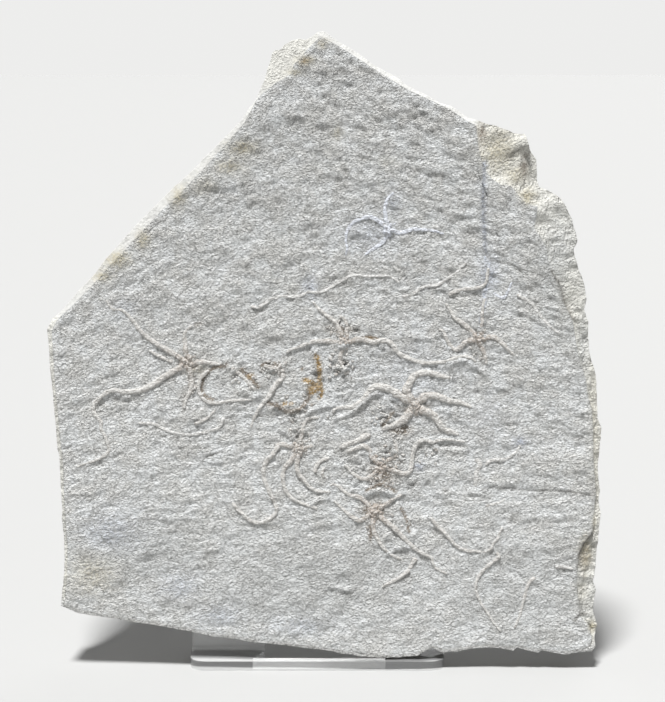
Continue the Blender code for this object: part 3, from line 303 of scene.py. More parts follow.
# Low ridges that stay part of the bedding plane: width, half their height, and route
FAINT_RIDGES = [
    (0.8, 0.3, [(29.1, 73.1), (30.8, 74.1), (32.9, 74.3), (34.9, 73.2), (36.4, 72.4), (38.2, 70.8)]),
    (0.8, 0.3, [(11.4, 66.2), (9.7, 65.6), (8.0, 64.1), (5.8, 62.0), (3.3, 60.7), (0.9, 60.0)]),
    (0.8, 0.28, [(-6.1, 61.1), (-4.8, 62.2), (-2.3, 62.7), (0.4, 63.2)]),
    (0.7, 0.25, [(-5.2, 38.4), (-3.6, 39.5), (-0.8, 40.1)]),
    (0.8, 0.3, [(-23.1, 67.2), (-22.2, 66.1), (-20.4, 65.6), (-18.6, 65.4)]),
    (0.7, 0.25, [(-14.5, 63.1), (-12.5, 62.4), (-10.0, 61.5), (-7.9, 62.0), (-6.8, 63.1)]),
    (0.7, 0.25, [(16.4, 38.7), (17.1, 36.9), (18.0, 35.3), (18.7, 33.3), (19.1, 31.3), (20.0, 29.7)]),
    (0.6, 0.22, [(21.6, 34.7), (21.2, 32.4), (20.3, 30.8)]),
    (0.6, 0.25, [(13.7, 26.0), (15.5, 27.0), (17.8, 27.6), (18.9, 27.6)]),
    (0.6, 0.2, [(19.6, 22.0), (20.3, 20.4), (20.7, 18.8), (21.4, 16.5), (22.5, 13.3)]),
    (0.6, 0.2, [(-0.6, 17.7), (1.4, 17.7), (2.6, 17.1), (5.1, 17.1)]),
    (0.9, 0.36, [(8.4, 41.0), (10.4, 41.6), (12.6, 41.6), (15.0, 41.0)]),
    (0.6, 0.25, [(27.9, 52.3), (26.8, 50.7), (25.7, 49.6)]),
    (0.6, 0.22, [(34.3, 41.4), (36.8, 41.1), (38.6, 40.5)]),
    (0.7, 0.25, [(36.3, 29.0), (37.5, 27.6)]),
    (0.7, 0.22, [(-54.1, 65.9), (-52.6, 65.6), (-51.1, 65.0)]),
    (0.6, 0.2, [(-0.2, 95.2), (1.2, 96.6), (3.2, 97.0)]),
    (0.8, 0.22, [(17.0, 80.4), (18.6, 82.8), (21.2, 83.6), (22.4, 81.4), (20.0, 80.2)]),
    (0.8, 0.25, [(1.9, 77.5), (3.7, 78.2)]),
    (0.9, 0.22, [(10.5, 62.6), (11.2, 61.6), (11.8, 60.5)]),
]
# Fine cracks: width, depth and route
CRACKS = [
    (0.6, 0.24, [(38.0, 124.0), (37.7, 118.0), (37.7, 111.0), (38.1, 105.0), (38.3, 100.9)]),
    (0.4, 0.22, [(38.2, 100.9), (39.7, 99.7), (42.5, 98.8), (45.0, 98.3), (47.3, 96.4)]),
    (0.36, 0.2, [(37.2, 41.9), (39.5, 42.6), (42.7, 42.4), (45.2, 42.4), (48.1, 41.9), (54.8, 41.8),
        (60.4, 41.4), (65.4, 40.6)]),
    (0.4, 0.16, [(51.8, 3.6), (51.8, 13.0)]),
    (0.4, 0.22, [(-38.0, 52.3), (-36.3, 52.8), (-35.0, 54.3)]),
    (0.4, 0.18, [(-67.0, 63.0), (-65.0, 62.5), (-63.0, 61.8)]),
    (0.4, 0.18, [(-31.7, 50.0), (-29.7, 51.0), (-27.7, 51.5)]),
    (0.45, 0.3, [(-5.8, 94.6), (-5.8, 91.9)]),
    (0.5, 0.3, [(-19.3, 60.4), (-16.6, 60.7), (-13.4, 60.6)]),
    (0.5, 0.3, [(14.8, 64.1), (16.0, 63.2), (17.3, 61.8)]),
    (0.45, 0.26, [(5.75, 82.0), (6.9, 81.1)]),
    (0.45, 0.24, [(28.6, 53.3), (30.9, 53.1), (34.5, 52.7)]),
    (0.6, 0.34, [(-17.5, 72.0), (-15.9, 73.6), (-14.6, 73.2)]),
    (0.4, 0.2, [(18.9, 43.2), (20.9, 43.2)]),
]
# Stains on the face by kind: centre (s, t), half sizes and strength
STAINS = {
    # Darker grey patches on the lower face and at the right edge
    "grey": [((-46.0, 27.0), (18.0, 12.0), 0.8), ((-10.0, 18.0), (46.0, 18.0), 0.7),
        ((48.0, 18.0), (28.0, 18.0), 0.6), ((57.5, 98.0), (6.0, 15.0), 1.0),
        ((63.5, 78.0), (3.0, 12.0), 0.7)],
    "tan": [((-53.8, 99.6), (4.0, 2.6), 1.0), ((-47.2, 104.6), (2.4, 2.6), 1.0),
        ((-57.6, 95.4), (3.4, 2.0), 0.8), ((-38.5, 115.4), (2.4, 3.4), 0.8),
        # The next two tan patches, and the one at (-32.0, 118.0), are broad hollows: partly a brownish
        # tint of the stone, partly painted shade
        ((-22.5, 127.6), (4.6, 2.4), 0.9), ((-26.0, 122.8), (4.6, 2.4), 0.7),
        ((-6.6, 149.4), (2.6, 1.6), 1.0), ((-9.2, 146.4), (2.4, 1.0), 0.9),
        ((-2.6, 153.6), (2.0, 1.4), 0.8), ((-60.0, 21.5), (7.5, 6.5), 0.55),
        ((1.2, 131.2), (1.8, 2.2), 0.6), ((14.0, 124.0), (3.6, 2.2), 0.25),
        ((-34.0, 72.2), (3.4, 2.2), 0.5), ((-32.0, 118.0), (4.6, 3.0), 0.4),
        ((41.6, 127.0), (5.4, 6.6), 0.75), ((46.0, 121.0), (3.6, 3.0), 0.7),
        ((48.8, 115.6), (2.4, 2.6), 1.0), ((65.6, 62.0), (2.4, 34.0), 0.3),
        ((59.0, 92.0), (4.0, 12.0), 0.25), ((63.4, 26.0), (2.0, 5.6), 1.0),
        ((62.4, 16.6), (2.2, 3.6), 0.35), ((65.0, 7.8), (1.5, 1.7), 1.0),
        ((65.4, 34.0), (0.8, 3.0), 0.6)],
    "blue": [((-56.0, 31.5), (9.0, 6.5), 0.45), ((-38.0, 18.0), (6.0, 4.5), 0.4),
        ((-28.0, 10.5), (6.0, 3.5), 0.4), ((39.0, 96.0), (3.0, 6.0), 0.7),
        ((37.8, 112.0), (1.2, 8.0), 0.5), ((10.0, 106.0), (8.5, 6.0), 0.4),
        ((15.0, 114.0), (2.4, 4.0), 0.5), ((46.8, 54.0), (2.0, 1.7), 0.9),
        ((21.6, 47.9), (1.7, 1.5), 0.8), ((-5.8, 92.6), (2.4, 3.4), 0.6),
        ((-52.0, 88.0), (5.0, 3.0), 0.3), ((20.0, 70.0), (16.0, 12.0), 0.2),
        ((-8.0, 8.0), (9.0, 3.0), 0.35), ((40.0, 60.0), (6.0, 8.0), 0.2)],
    "brown": [((2.2, 82.0), (3.4, 1.1), 0.9), ((17.2, 57.1), (3.0, 1.7), 0.9),
        ((12.4, 46.2), (3.4, 3.8), 0.8), ((-35.6, 73.4), (3.4, 2.6), 0.5),
        ((-35.2, 69.0), (1.3, 3.4), 0.5), ((-34.0, 83.4), (2.0, 0.6), 0.4),
        ((36.4, 79.4), (3.0, 2.6), 0.3), ((37.6, 75.6), (1.0, 2.4), 0.3),
        ((20.6, 62.4), (4.0, 2.4), 0.5), ((10.2, 36.8), (3.4, 2.6), 0.9),
        ((9.5, 31.6), (0.7, 3.2), 0.9), ((-8.2, 54.0), (2.0, 2.4), 0.35),
        ((-22.5, 72.0), (1.0, 0.8), 1.0), ((-7.6, 72.2), (0.6, 0.5), 1.0),
        ((-15.4, 73.0), (2.0, 0.9), 0.6), ((-37.0, 64.0), (0.7, 2.8), 0.4),
        # The next two brown spots, at the chip's left wall and at its dark facet, are painted shade
        ((37.3, 131.2), (1.4, 3.4), 0.5), ((48.3, 123.6), (0.9, 4.0), 0.6),
        ((63.0, 24.6), (1.8, 3.4), 0.3)],
    "rust": [((-5.0, 67.6), (1.6, 1.3), 0.7), ((-11.8, 63.6), (0.7, 0.6), 1.0),
        ((-10.3, 63.6), (0.6, 0.5), 0.9), ((-20.4, 70.4), (1.2, 0.8), 0.5),
        ((8.4, 79.9), (2.2, 0.5), 0.4), ((-7.0, 149.2), (1.2, 0.8), 0.4)],
}
# Narrow stains, and lines of painted shade, by kind: width and route
STREAKS = {
    "rust": [
        (0.42, [(-4.1, 75.6), (-3.5, 73.6), (-3.2, 71.4), (-3.3, 69.4), (-2.7, 67.2), (-3.1, 65.2)]),
        (0.45, [(-7.0, 69.5), (-5.4, 69.0), (-3.6, 67.9)]),
        (0.4, [(-5.4, 66.4), (-4.0, 66.8), (-2.9, 68.2)])],
    "brown": [
        (0.3, [(-3.9, 71.8), (-3.4, 69.8), (-3.0, 67.6)]),
        (0.5, [(-16.4, 63.9), (-14.0, 63.2), (-12.0, 61.9), (-9.5, 61.7), (-7.5, 62.8), (-6.0, 65.0),
            (-5.7, 67.0)]),
        (0.4, [(-26.6, 73.2), (-29.6, 72.6), (-31.6, 71.0), (-32.6, 69.4), (-32.8, 66.8), (-31.8, 65.4),
            (-30.0, 64.6)]),
        (0.45, [(-22.6, 71.8), (-21.0, 70.4), (-19.4, 68.6), (-18.6, 67.6)]),
        (0.35, [(-17.6, 73.2), (-15.4, 73.9), (-13.4, 73.0)]),
        (0.35, [(6.4, 79.2), (9.0, 80.2), (11.6, 79.6)]),
        (0.35, [(15.0, 61.4), (13.6, 59.4), (12.6, 58.0)]),
        (0.3, [(8.6, 41.9), (10.4, 42.9), (12.0, 43.4), (13.8, 42.8), (15.8, 41.6)]),
        (0.3, [(17.2, 37.4), (18.2, 35.4), (18.7, 33.6), (19.1, 31.6)])],
    # Lines of painted shade along edges, a ridge and a crease that face away from the light: at the
    # right edge, in the chip and by the hollows low on the right
    "dark": [
        (0.45, [(54.9, 96.6), (56.6, 93.6), (57.3, 91.0), (58.4, 88.4), (60.0, 85.0)]),
        (0.4, [(47.3, 127.4), (47.5, 125.5), (47.9, 123.6), (48.8, 121.6)]),
        (0.35, [(43.6, 124.6), (44.6, 125.6), (45.6, 126.5), (46.5, 127.2)]),
        (0.35, [(65.0, 31.0), (63.4, 29.2), (62.2, 27.2), (61.4, 25.0)]),
        (0.35, [(60.4, 9.2), (61.6, 10.6), (63.6, 11.0)])],
    "blue": [
        (0.4, [(38.0, 124.0), (37.7, 118.0), (37.7, 111.0), (38.1, 105.0), (38.3, 100.9), (38.8, 97.0),
            (38.0, 90.0), (37.0, 83.0)])],
}
# Crumbly patches of the face: centre (s, t), half sizes and strength
CRUMBS = [
    ((-14.5, 72.6), (3.6, 1.8), 0.8), ((-10.0, 62.0), (5.0, 3.0), 0.7), ((2.2, 72.6), (3.4, 3.4), 1.0),
    ((-4.0, 70.0), (3.0, 5.0), 0.7), ((-24.0, 71.0), (3.0, 2.2), 0.7), ((-21.0, 66.6), (3.0, 2.0), 0.6),
    ((14.8, 60.2), (4.6, 3.2), 0.7), ((13.4, 50.8), (4.4, 4.2), 1.0), ((-9.0, 55.6), (3.6, 3.0), 0.7),
    ((3.2, 82.4), (3.4, 2.6), 0.6), ((36.4, 82.0), (4.0, 3.4), 0.5), ((13.0, 42.6), (4.2, 2.4), 0.35),
    ((-36.4, 74.0), (4.4, 3.6), 0.5), ((28.0, 80.0), (5.0, 4.0), 0.4), ((16.0, 30.0), (5.0, 5.0), 0.4),
    ((24.0, 52.0), (6.0, 3.0), 0.4), ((8.0, 46.0), (7.0, 6.0), 0.5), ((20.0, 44.0), (6.0, 6.0), 0.4),
    ((3.0, 66.0), (5.0, 4.0), 0.5), ((-6.0, 78.0), (4.0, 4.0), 0.35),
]
# Octaves of the bedding plane's wrinkles: height, length along the grain and across it, and seed.
# A fifth number makes the octave lumps, and rounds their hollows the more, the larger it is.
BROAD_WRINKLES = [(0.75, 14.0, 11.0, 1), (0.48, 6.2, 5.4, 2), (0.46, 4.4, 3.5, 3, 0.015)]
FINE_WRINKLES = [(0.38, 2.5, 2.0, 5), (0.34, 1.9, 1.6, 8, 0.008), (0.20, 1.1, 1.0, 4)]
# Mean height of each sum's lumps, taken off so that the plane stays where it is
BROAD_MEAN, FINE_MEAN = 0.13, 0.09

# The broken border: the most that it falls behind the face, where at the right its slope is
# gentler and over what way, and how far its first ring lies from the face's edge and its last but
# one from the outline
BORDER_FALL = 2.4
GENTLE_AT, GENTLE_SIZE = (51.0, 112.0), 4.0
RING_GAP = 0.12
# The wall round the slab leans in by this much between front and back
WALL_LEAN = 1.7

# Easel sizes. The ledge reaches in front of the face, and the back rest stands behind the slab.
SHEET = 2.5
LEDGE_AHEAD, REST_BEHIND = 1.0, 0.3
EASEL_LEFT, EASEL_RIGHT = -33.75, 30.25
TONGUE_LEFT, TONGUE_RIGHT = -14.55, 11.95
EASEL_CORNER = 4.0
SAW_CUT, NOTCH_FLARE, LEDGE_STRIP = 0.6, 3.4, 2.4
HINGE, BACK_REST_TOP = 70.0, 80.0
BEND_INSIDE = 0.5
LEG_SPREAD = math.radians(22.0)
POLISHED_EDGE = 0.22

# Half the floor's side, in metres. The camera looks straight at the face: how high up the face the
# middle of its view is, in millimetres, and the width of its view at the face, in metres.
FLOOR_HALF = 40.0
VIEW_MIDDLE, VIEW_WIDTH = 76.75, 0.16625
SENSOR_WIDTH = 36.0
# Lights: the direction that each comes from, its apparent size in degrees and its strength
FILL = ((0.45, -0.85, 0.30), 60.0, 0.15)
REAR = ((0.35, 0.80, 0.50), 50.0, 0.7)
KEY_FROM, KEY_SIZE = (-0.13, -0.23, 0.96), 12.0


def lean_point(t, depth):
    """World (y, z) in millimetres of a height and depth in the face frame, which is turned by the
    lean about X."""
    return (Y_FACE + t * math.sin(LEAN) + depth * math.cos(LEAN),
            Z_FACE + t * math.cos(LEAN) - depth * math.sin(LEAN))


def face_to_world(s, t, depth):
    """Face frame to world metres."""
    return np.stack((s + X_SHIFT, *lean_point(t, depth)), axis=-1) * MM


def noise(x, y, seed):
    """Gradient noise, about -0.7 to 0.7: a hashed unit vector at each lattice corner, dotted with
    the offset from it and blended by 6f^5 - 15f^4 + 10f^3."""
    x, y = np.broadcast_arrays(np.asarray(x, float), np.asarray(y, float))
    cell_x, cell_y = np.floor(x).astype(np.int64), np.floor(y).astype(np.int64)
    fx, fy = x - cell_x, y - cell_y

    def corner(dx, dy):
        h = (cell_x + dx) * 374761393 + (cell_y + dy) * 668265263 + seed * 2246822519
        h = ((h ^ (h >> 13)) * 1274126177) & 0xFFFFFFFF
        angle = (h ^ (h >> 16)) / 0xFFFFFFFF * FULL_TURN
        return np.cos(angle) * (fx - dx) + np.sin(angle) * (fy - dy)

    u, v = (f ** 3 * (f * (6.0 * f - 15.0) + 10.0) for f in (fx, fy))
    low = corner(0, 0) * (1.0 - u) + corner(1, 0) * u
    high = corner(0, 1) * (1.0 - u) + corner(1, 1) * u
    return low * (1.0 - v) + high * v


def bell(value, width):
    """1 at 0, falling off as exp(-(value / width)^2)."""
    return np.exp(-(value / width) ** 2)


def ramp(value, start, width):
    """0 up to a start, then rising evenly to 1 over a width."""
    return np.clip((value - start) / width, 0.0, 1.0)


def octaves(along, across, table):
    """Sum of noises. A lump is the root of the noise squared and its rounding."""
    total = 0.0
    for height, length, width, seed, *rounding in table:
        wave = noise(along / length, across / width, seed)
        total = total + height * (np.sqrt(wave ** 2 + rounding[0]) if rounding else wave)
    return total


def wrinkles(s, t):
    """Height of the bare bedding plane: broad and fine octaves of noise along a curving grain. The
    grain rises to the right low on the left and falls high up, and its slope dies away to the
    right. The whole is flatter low down than high up."""
    slope = 0.28 - 0.0050 * (t - 20.0)
    along = s + 2.0 * noise(s / 16.0, t / 14.0, 6)
    across = t - slope * 80.0 * (1.0 - np.exp(-(s + 71.0) / 80.0))
    across = across + 2.0 * noise(s / 15.0, t / 13.0, 7)
    broad = octaves(along, across, BROAD_WRINKLES) - BROAD_MEAN
    fine = octaves(along, across, FINE_WRINKLES) - FINE_MEAN
    return broad * (0.72 + 0.0008 * t) + fine * (0.62 + 0.0055 * t)


def distance_to_path(s, t, path):
    """Shortest distance from each point to a path's straight pieces."""
    best = np.full(s.shape, np.inf)
    for (s0, t0), (s1, t1) in zip(path[:-1], path[1:]):
        ds, dt = s1 - s0, t1 - t0
        share = np.clip(((s - s0) * ds + (t - t0) * dt) / max(ds * ds + dt * dt, 1e-9), 0.0, 1.0)
        best = np.minimum(best, np.hypot(s - s0 - share * ds, t - t0 - share * dt))
    return best


def lengths_along(path):
    """Length along a path at each of its points."""
    return np.concatenate(([0.0], np.cumsum(np.hypot(*np.diff(path, axis=0).T))))


def smooth_route(route, step=0.28):
    """Catmull-Rom curve through the route's points, sampled every step."""
    points = np.asarray(route, float)
    padded = np.concatenate(([2 * points[0] - points[1]], points, [2 * points[-1] - points[-2]]))
    at = np.linspace(0.0, len(points) - 1.0, max(int(lengths_along(points)[-1] / step), 6))
    i = np.minimum(at.astype(int), len(points) - 2)
    f = (at - i)[:, None]
    p0, p1, p2, p3 = (padded[i + ahead] for ahead in range(4))
    return 0.5 * (2 * p1 + (p2 - p0) * f + (2 * p0 - 5 * p1 + 4 * p2 - p3) * f ** 2
                  + (3 * p1 - p0 - 3 * p2 + p3) * f ** 3)


def spacing(count, middle):
    """Shares from 0 to 1 that lie closer together about a middle, where the fossils are: the
    running sum of 1.45 - 0.9 d, d being the distance from the middle, scaled to end at 1."""
    at = np.linspace(0.0, 1.0, 4 * (count - 1) + 1)
    density = 1.45 - 0.9 * np.abs(at - middle)
    total = np.concatenate(([0.0], np.cumsum(0.5 * (density[1:] + density[:-1]))))
    return np.interp(np.linspace(0.0, total[-1], count), total, at)


def on_path(path, length, at, wander):
    """Points at given lengths along a closed path, straying a little as a break does."""
    stray = wander * np.clip(np.minimum(at, length[-1] - at) / 2.0, 0.0, 1.0)
    return np.stack([np.interp(at, length, path[:, axis]) + stray * noise(at / 1.7, 0.0, 11 + axis)
                     for axis in (0, 1)], axis=-1)


def face_and_outline(rows, columns):
    """Rings of points round the edge of the face and round the slab, side by side.

    The face's ring is spread over its four sides. Between two corners that lie side by side, the
    slab's ring has gone the same share of its way as the face's ring."""
    face, outline = (np.array(path + path[:1]) for path in (FACE_EDGE, OUTLINE))
    face_length, outline_length = lengths_along(face), lengths_along(outline)
    corners = np.append(face_length[list(FACE_CORNERS)], face_length[-1])
    across, up = spacing(columns, FINEST_ACROSS), spacing(rows, FINEST_UP)
    shares = (across, up, 1.0 - across[::-1], 1.0 - up[::-1])
    at = np.concatenate([start + (end - start) * share[:-1]
                         for start, end, share in zip(corners[:-1], corners[1:], shares)])
    ties = np.array(SIDE_BY_SIDE + [(len(FACE_EDGE), len(OUTLINE))])
    outline_at = np.interp(at, face_length[ties[:, 0]], outline_length[ties[:, 1]])
    return (on_path(face, face_length, at, 0.12),
            on_path(outline, outline_length, outline_at, 0.14))


def patch(bottom, top, left, right):
    """Coons patch: the sum of the two ruled surfaces between opposite sides, less the bilinear
    surface of the four corners."""
    u = spacing(len(bottom), FINEST_ACROSS)[None, :, None]
    v = spacing(len(left), FINEST_UP)[:, None, None]
    ruled_up = (1.0 - v) * bottom[None] + v * top[None]
    ruled_across = (1.0 - u) * left[:, None] + u * right[:, None]
    corners = ((1.0 - u) * (1.0 - v) * bottom[0] + u * (1.0 - v) * bottom[-1]
               + (1.0 - u) * v * top[0] + u * v * top[-1])
    return ruled_up + ruled_across - corners


def ring_of(rows, columns):
    """Indices of a grid's outer ring, anticlockwise from its first corner."""
    index = np.arange(rows * columns).reshape(rows, columns)
    return np.concatenate((index[0, :-1], index[:-1, -1], index[-1, :0:-1], index[:0:-1, 0]))


def grid_quads(index):
    """Quads between neighbouring rows and columns of a grid of vertices."""
    return np.stack((index[:-1, :-1], index[:-1, 1:], index[1:, 1:], index[1:, :-1]), axis=-1)


def ring_quads(rings):
    """Quads between neighbouring rings, each closed on itself."""
    turn = np.roll(rings, -1, axis=1)
    return np.stack((rings[:-1], rings[1:], turn[1:], turn[:-1]), -1).reshape(-1, 4)


def shell_faces(rings, sides):
    """Quads of a closed shell of rings, and its triangles to a pole at either end. The poles come
    after the rings' vertices."""
    index = np.arange(rings * sides).reshape(rings, sides)
    turn = np.roll(index, -1, axis=1)
    first, last = np.full(sides, index.size), np.full(sides, index.size + 1)
    caps = np.concatenate((np.stack((first, index[0], turn[0]), -1),
                           np.stack((last, turn[-1], index[-1]), -1)))
    return ring_quads(index), caps


def stitch(outer, inner):
    """Triangles between a ring and one with half as many vertices."""
    a, b, c = outer[0::2], outer[1::2], np.roll(outer, -2)[0::2]
    d, e = inner, np.roll(inner, -1)
    return np.concatenate([np.stack(three, -1) for three in ((a, b, d), (b, e, d), (b, c, e))])


def soft_spot(s, t, centre, size):
    """1 at the centre of an ellipse, falling smoothly to 0 at about its edge, edge made ragged."""
    ragged = 1.0 + 0.5 * noise(s / 1.3, t / 1.1, 31)
    reach = np.hypot((s - centre[0]) / size[0], (t - centre[1]) / size[1]) * ragged
    return np.exp(-1.6 * reach ** 2)


def add_bank(layers, s, t, route, width, rise, moat):
    """Raise the plane beside a route by a bell of its distance, calm its wrinkles by the same bell
    and sink a moat outside it, into which shade is painted."""
    height, dark, calm = layers
    reach = 3.0 * width + 0.5
    low, high = route.min(axis=0) - reach, route.max(axis=0) + reach
    near = (s > low[0]) & (s < high[0]) & (t > low[1]) & (t < high[1])
    away = distance_to_path(s[near], t[near], route)
    bank = bell(away, 0.85 * width)
    ditch = bell(away - 0.95 * width, 0.38 * width)
    height[near] += rise * bank - moat * ditch
    dark[near] = np.maximum(dark[near], ditch * 1.6 * moat)
    calm[near] = np.maximum(calm[near], bank)


def bottom_side(s, t):
    """1 along the slab's bottom edge and 0 away from it."""
    return ramp(np.maximum(0.16 * (13.0 - s), 1.5) + 2.5 - t, 0.0, 1.5)


def face_relief(s, t):
    """Height of the face with the banks of the arms, the low ridges, the cracks and the crumbly
    patches, with how much shade is painted on it, in the moats, the cracks and between the crumbs,
    and how crumbly it is."""
    height, dark, calm, crumbs = (np.zeros_like(s) for _layer in range(4))
    layers = (height, dark, calm)
    arms = [(name, arm) for name, star in STARS.items() for arm in star[3]]
    for name, (root_width, tip_width, route) in arms + list(LOOSE_ARMS.items()):
        add_bank(layers, s, t, smooth_route(route, 0.8), 0.45 * (root_width + tip_width),
                 *(FAINT_BANK if name in FAINT else ARM_BANK))
    for width, rise, route in FAINT_RIDGES:
        add_bank(layers, s, t, smooth_route(route, 0.6), width, 2.0 * rise, 0.03)
    for centre, radius, *_rest in STARS.values():
        away = np.hypot(s - centre[0], t - centre[1]) / radius
        height += 0.25 * bell(away, 1.3)
        calm = np.maximum(calm, bell(away, 1.2))
    height += wrinkles(s, t) * (1.0 - CALM * calm)
    # Each crack is a groove with shade painted down it
    for width, drop, route in CRACKS:
        groove = bell(distance_to_path(s, t, smooth_route(route, 0.6)), 0.7 * width)
        height -= drop * groove
        dark = np.maximum(dark, 0.6 * groove)
    for centre, size, strength in CRUMBS:
        crumbs = np.maximum(crumbs, strength * soft_spot(s, t, centre, size))
    lumps = noise(s / 1.7, t / 1.3, 21) + 0.8 * noise(s / 1.05, t / 0.95, 22)
    height += 1.35 * crumbs * lumps
    # Shade is painted where the crumbly lumps are low
    dark = np.maximum(dark, crumbs * np.clip(-2.4 * lumps - 0.3, 0.0, 0.6))
    return height, dark, crumbs


def chip_depth(s, t, away):
    """Depth of the chip: a rough hollow behind a short wall, with a crease up its middle and a
    ridge at its right, from which it drops to the outline. Its tip is shallower."""
    beyond_ridge = s - (47.3 + 0.17 * (127.0 - t))
    hollow = 1.5 * (1.0 - np.exp(-away / 0.9)) + 1.1 * noise(s / 4.2, t / 3.6, 46)
    hollow = hollow - 0.8 * np.abs(noise(s / 1.9, t / 1.6, 47)) * (beyond_ridge < 0.0)
    hollow = hollow + 0.5 * bell(distance_to_path(s, t, CHIP_CREASE), 0.6)
    hollow = hollow + 1.3 * np.clip(beyond_ridge, 0.0, 1.5)
    tip = ramp(s, *CHIP_TIP_RIGHT_OF) * ramp(t, *CHIP_TIP_ABOVE)
    hollow = (1.0 - tip) * hollow + tip * (0.7 + 0.8 * np.maximum(t - 128.6, 0.0))
    return np.maximum(hollow, 0.1)


def border_depth(s, t, share, gap):
    """Depth of the broken border behind the face's edge, and how smooth the border is. The share
    is that of the gap between the face's edge and the outline.

    The fall at the outline is F (1 - exp(-k gap / F)), F being the most it can be and k differing
    from side to side. Noise makes it rough, and at the right a groove runs beside the edge."""
    away, left_over = share * gap, (1.0 - share) * gap
    chip = ramp(t, *CHIP_ABOVE) * ramp(s, *CHIP_RIGHT_OF)
    upper_left = ramp(t, *LONG_LEFT_ABOVE) * ramp(-s, *LONG_LEFT_LEFT_OF)
    ear = ramp(t, *EAR_ABOVE) * ramp(-s, *EAR_LEFT_OF)
    upper = ramp(t, *TOP_ABOVE) * (1.0 - upper_left)
    bottom = bottom_side(s, t)
    right = ramp(s, *RIGHT_RIGHT_OF) * (1.0 - chip) * (1.0 - bottom)
    gentle = bell(s - GENTLE_AT[0], GENTLE_SIZE) * bell(t - GENTLE_AT[1], GENTLE_SIZE)
    steep = (0.50 - 0.28 * upper_left - 0.06 * ear + 0.08 * upper - 0.10 * right - 0.42 * bottom
             - 0.30 * gentle)
    fall = BORDER_FALL * (1.0 - np.exp(-steep * gap / BORDER_FALL))
    fall = np.maximum(fall, 0.30 - 0.26 * bottom)
    fall = fall * (1.0 - (1.0 - share) ** (1.0 + 0.4 * right))
    lean_along, lean_across = 0.17 * s + 0.98 * t, 0.98 * s - 0.17 * t
    rough = (0.45 * noise(s / 3.0, t / 4.0, 41) + 0.45 * noise(s / 1.3, t / 1.5, 42)
             + (0.70 + 0.35 * right) * np.abs(noise(s / 1.4, t / 7.0, 43)))
    rough = rough * (1.0 - 0.8 * upper_left) * (1.0 - 0.85 * bottom)
    rough = rough + ear * 0.55 * np.abs(noise(lean_across / 1.2, lean_along / 14.0, 44))
    rough = rough - 0.8 * right * np.exp(-left_over / 1.2) * noise(s / 1.7, t / 2.6, 45)
    groove = 0.50 * right * bell(away - 0.5, 0.3)
    plain = fall + groove + rough * np.clip(away / 0.8, 0.0, 1.0) * np.clip(gap / 3.0, 0.12, 1.0)
    smooth = np.clip(upper_left + upper * (1.0 - chip), 0.0, 1.0)
    return (1.0 - chip) * plain + chip * chip_depth(s, t, away), smooth * (1.0 - 0.35 * ear)


def slab_front(rows, columns, steps=9, passes=50):
    """Front of the slab: the grid of the face and, from its edge to the outline, rings of the
    broken border. Positions, depths and masks of the grid's vertices, then of the rings'.

    In each pass the inner vertices of the grid move to the mean of their four neighbours, which
    opens the cells beside the chip."""
    edge, outline = face_and_outline(rows, columns)
    corner = columns + rows - 2
    place = patch(edge[:columns], edge[corner:corner + columns][::-1],
                  np.concatenate((edge[corner + columns - 1:], edge[:1]))[::-1],
                  edge[columns - 1:corner + 1])
    for _pass in range(passes):
        place[1:-1, 1:-1] = 0.25 * (place[:-2, 1:-1] + place[2:, 1:-1]
                                    + place[1:-1, :-2] + place[1:-1, 2:])
    s, t = place[..., 0].reshape(-1), place[..., 1].reshape(-1)
    ring = ring_of(rows, columns)
    into_face = distance_to_path(s, t, FACE_EDGE + FACE_EDGE[:1])
    into_face[ring] = 0.0
    height, dark, crumbs = face_relief(s, t)
    height = height * np.clip(into_face / 1.5, 0.45, 1.0)
    rounding = 0.20 * (1.0 - 0.8 * bottom_side(s, t))
    depth = rounding * np.exp(-into_face / 0.35) - height

    gap = np.hypot(*(outline - edge).T)
    first, last = (np.minimum(RING_GAP / gap, most) for most in (0.3, 0.2))
    share = first + (1.0 - first - last) * np.linspace(0.0, 1.0, steps - 1)[:, None]
    share = np.concatenate((share, np.ones((1, len(gap)))))
    border_s, border_t = (edge[:, axis] + share * (outline - edge)[:, axis] for axis in (0, 1))
    fallen, smooth = border_depth(border_s, border_t, share, gap)
    fallen = np.maximum(depth[ring] + fallen, 0.02)

    bottom = bottom_side(border_s, border_t)
    # On the border the dark mask paints shade along the bottom edge, which faces down
    masks = {"broken": np.append(0.0 * s, 1.0 - 0.7 * bottom),
             "dark": np.append(dark, 0.18 * bottom),
             "crumbs": np.append(crumbs, 0.0 * fallen),
             "smooth": np.append(0.60 * np.clip(1.0 - t / 150.0, 0.0, 1.0), smooth)}
    s, t, depth = np.append(s, border_s), np.append(t, border_t), np.append(depth, fallen)
    for kind, spots in STAINS.items():
        masks[kind] = np.max([strength * soft_spot(s, t, centre, size)
                              for centre, size, strength in spots], axis=0)
    ragged = 1.0 + 0.9 * noise(s / 0.9, t / 0.9, 32)
    for kind, streaks in STREAKS.items():
        for width, route in streaks:
            streak = bell(distance_to_path(s, t, smooth_route(route, 0.5)), width * ragged)
            masks[kind] = np.maximum(masks[kind], streak)
    return s, t, depth, masks


def inwards(s, t):
    """Unit vectors that point into the slab from a ring's points, at a right angle to the line
    between the points four places ahead and behind."""
    ahead_s, ahead_t = (np.roll(line, -4) - np.roll(line, 4) for line in (s, t))
    length = np.maximum(np.hypot(ahead_s, ahead_t), 1e-6)
    return -ahead_t / length, ahead_s / length


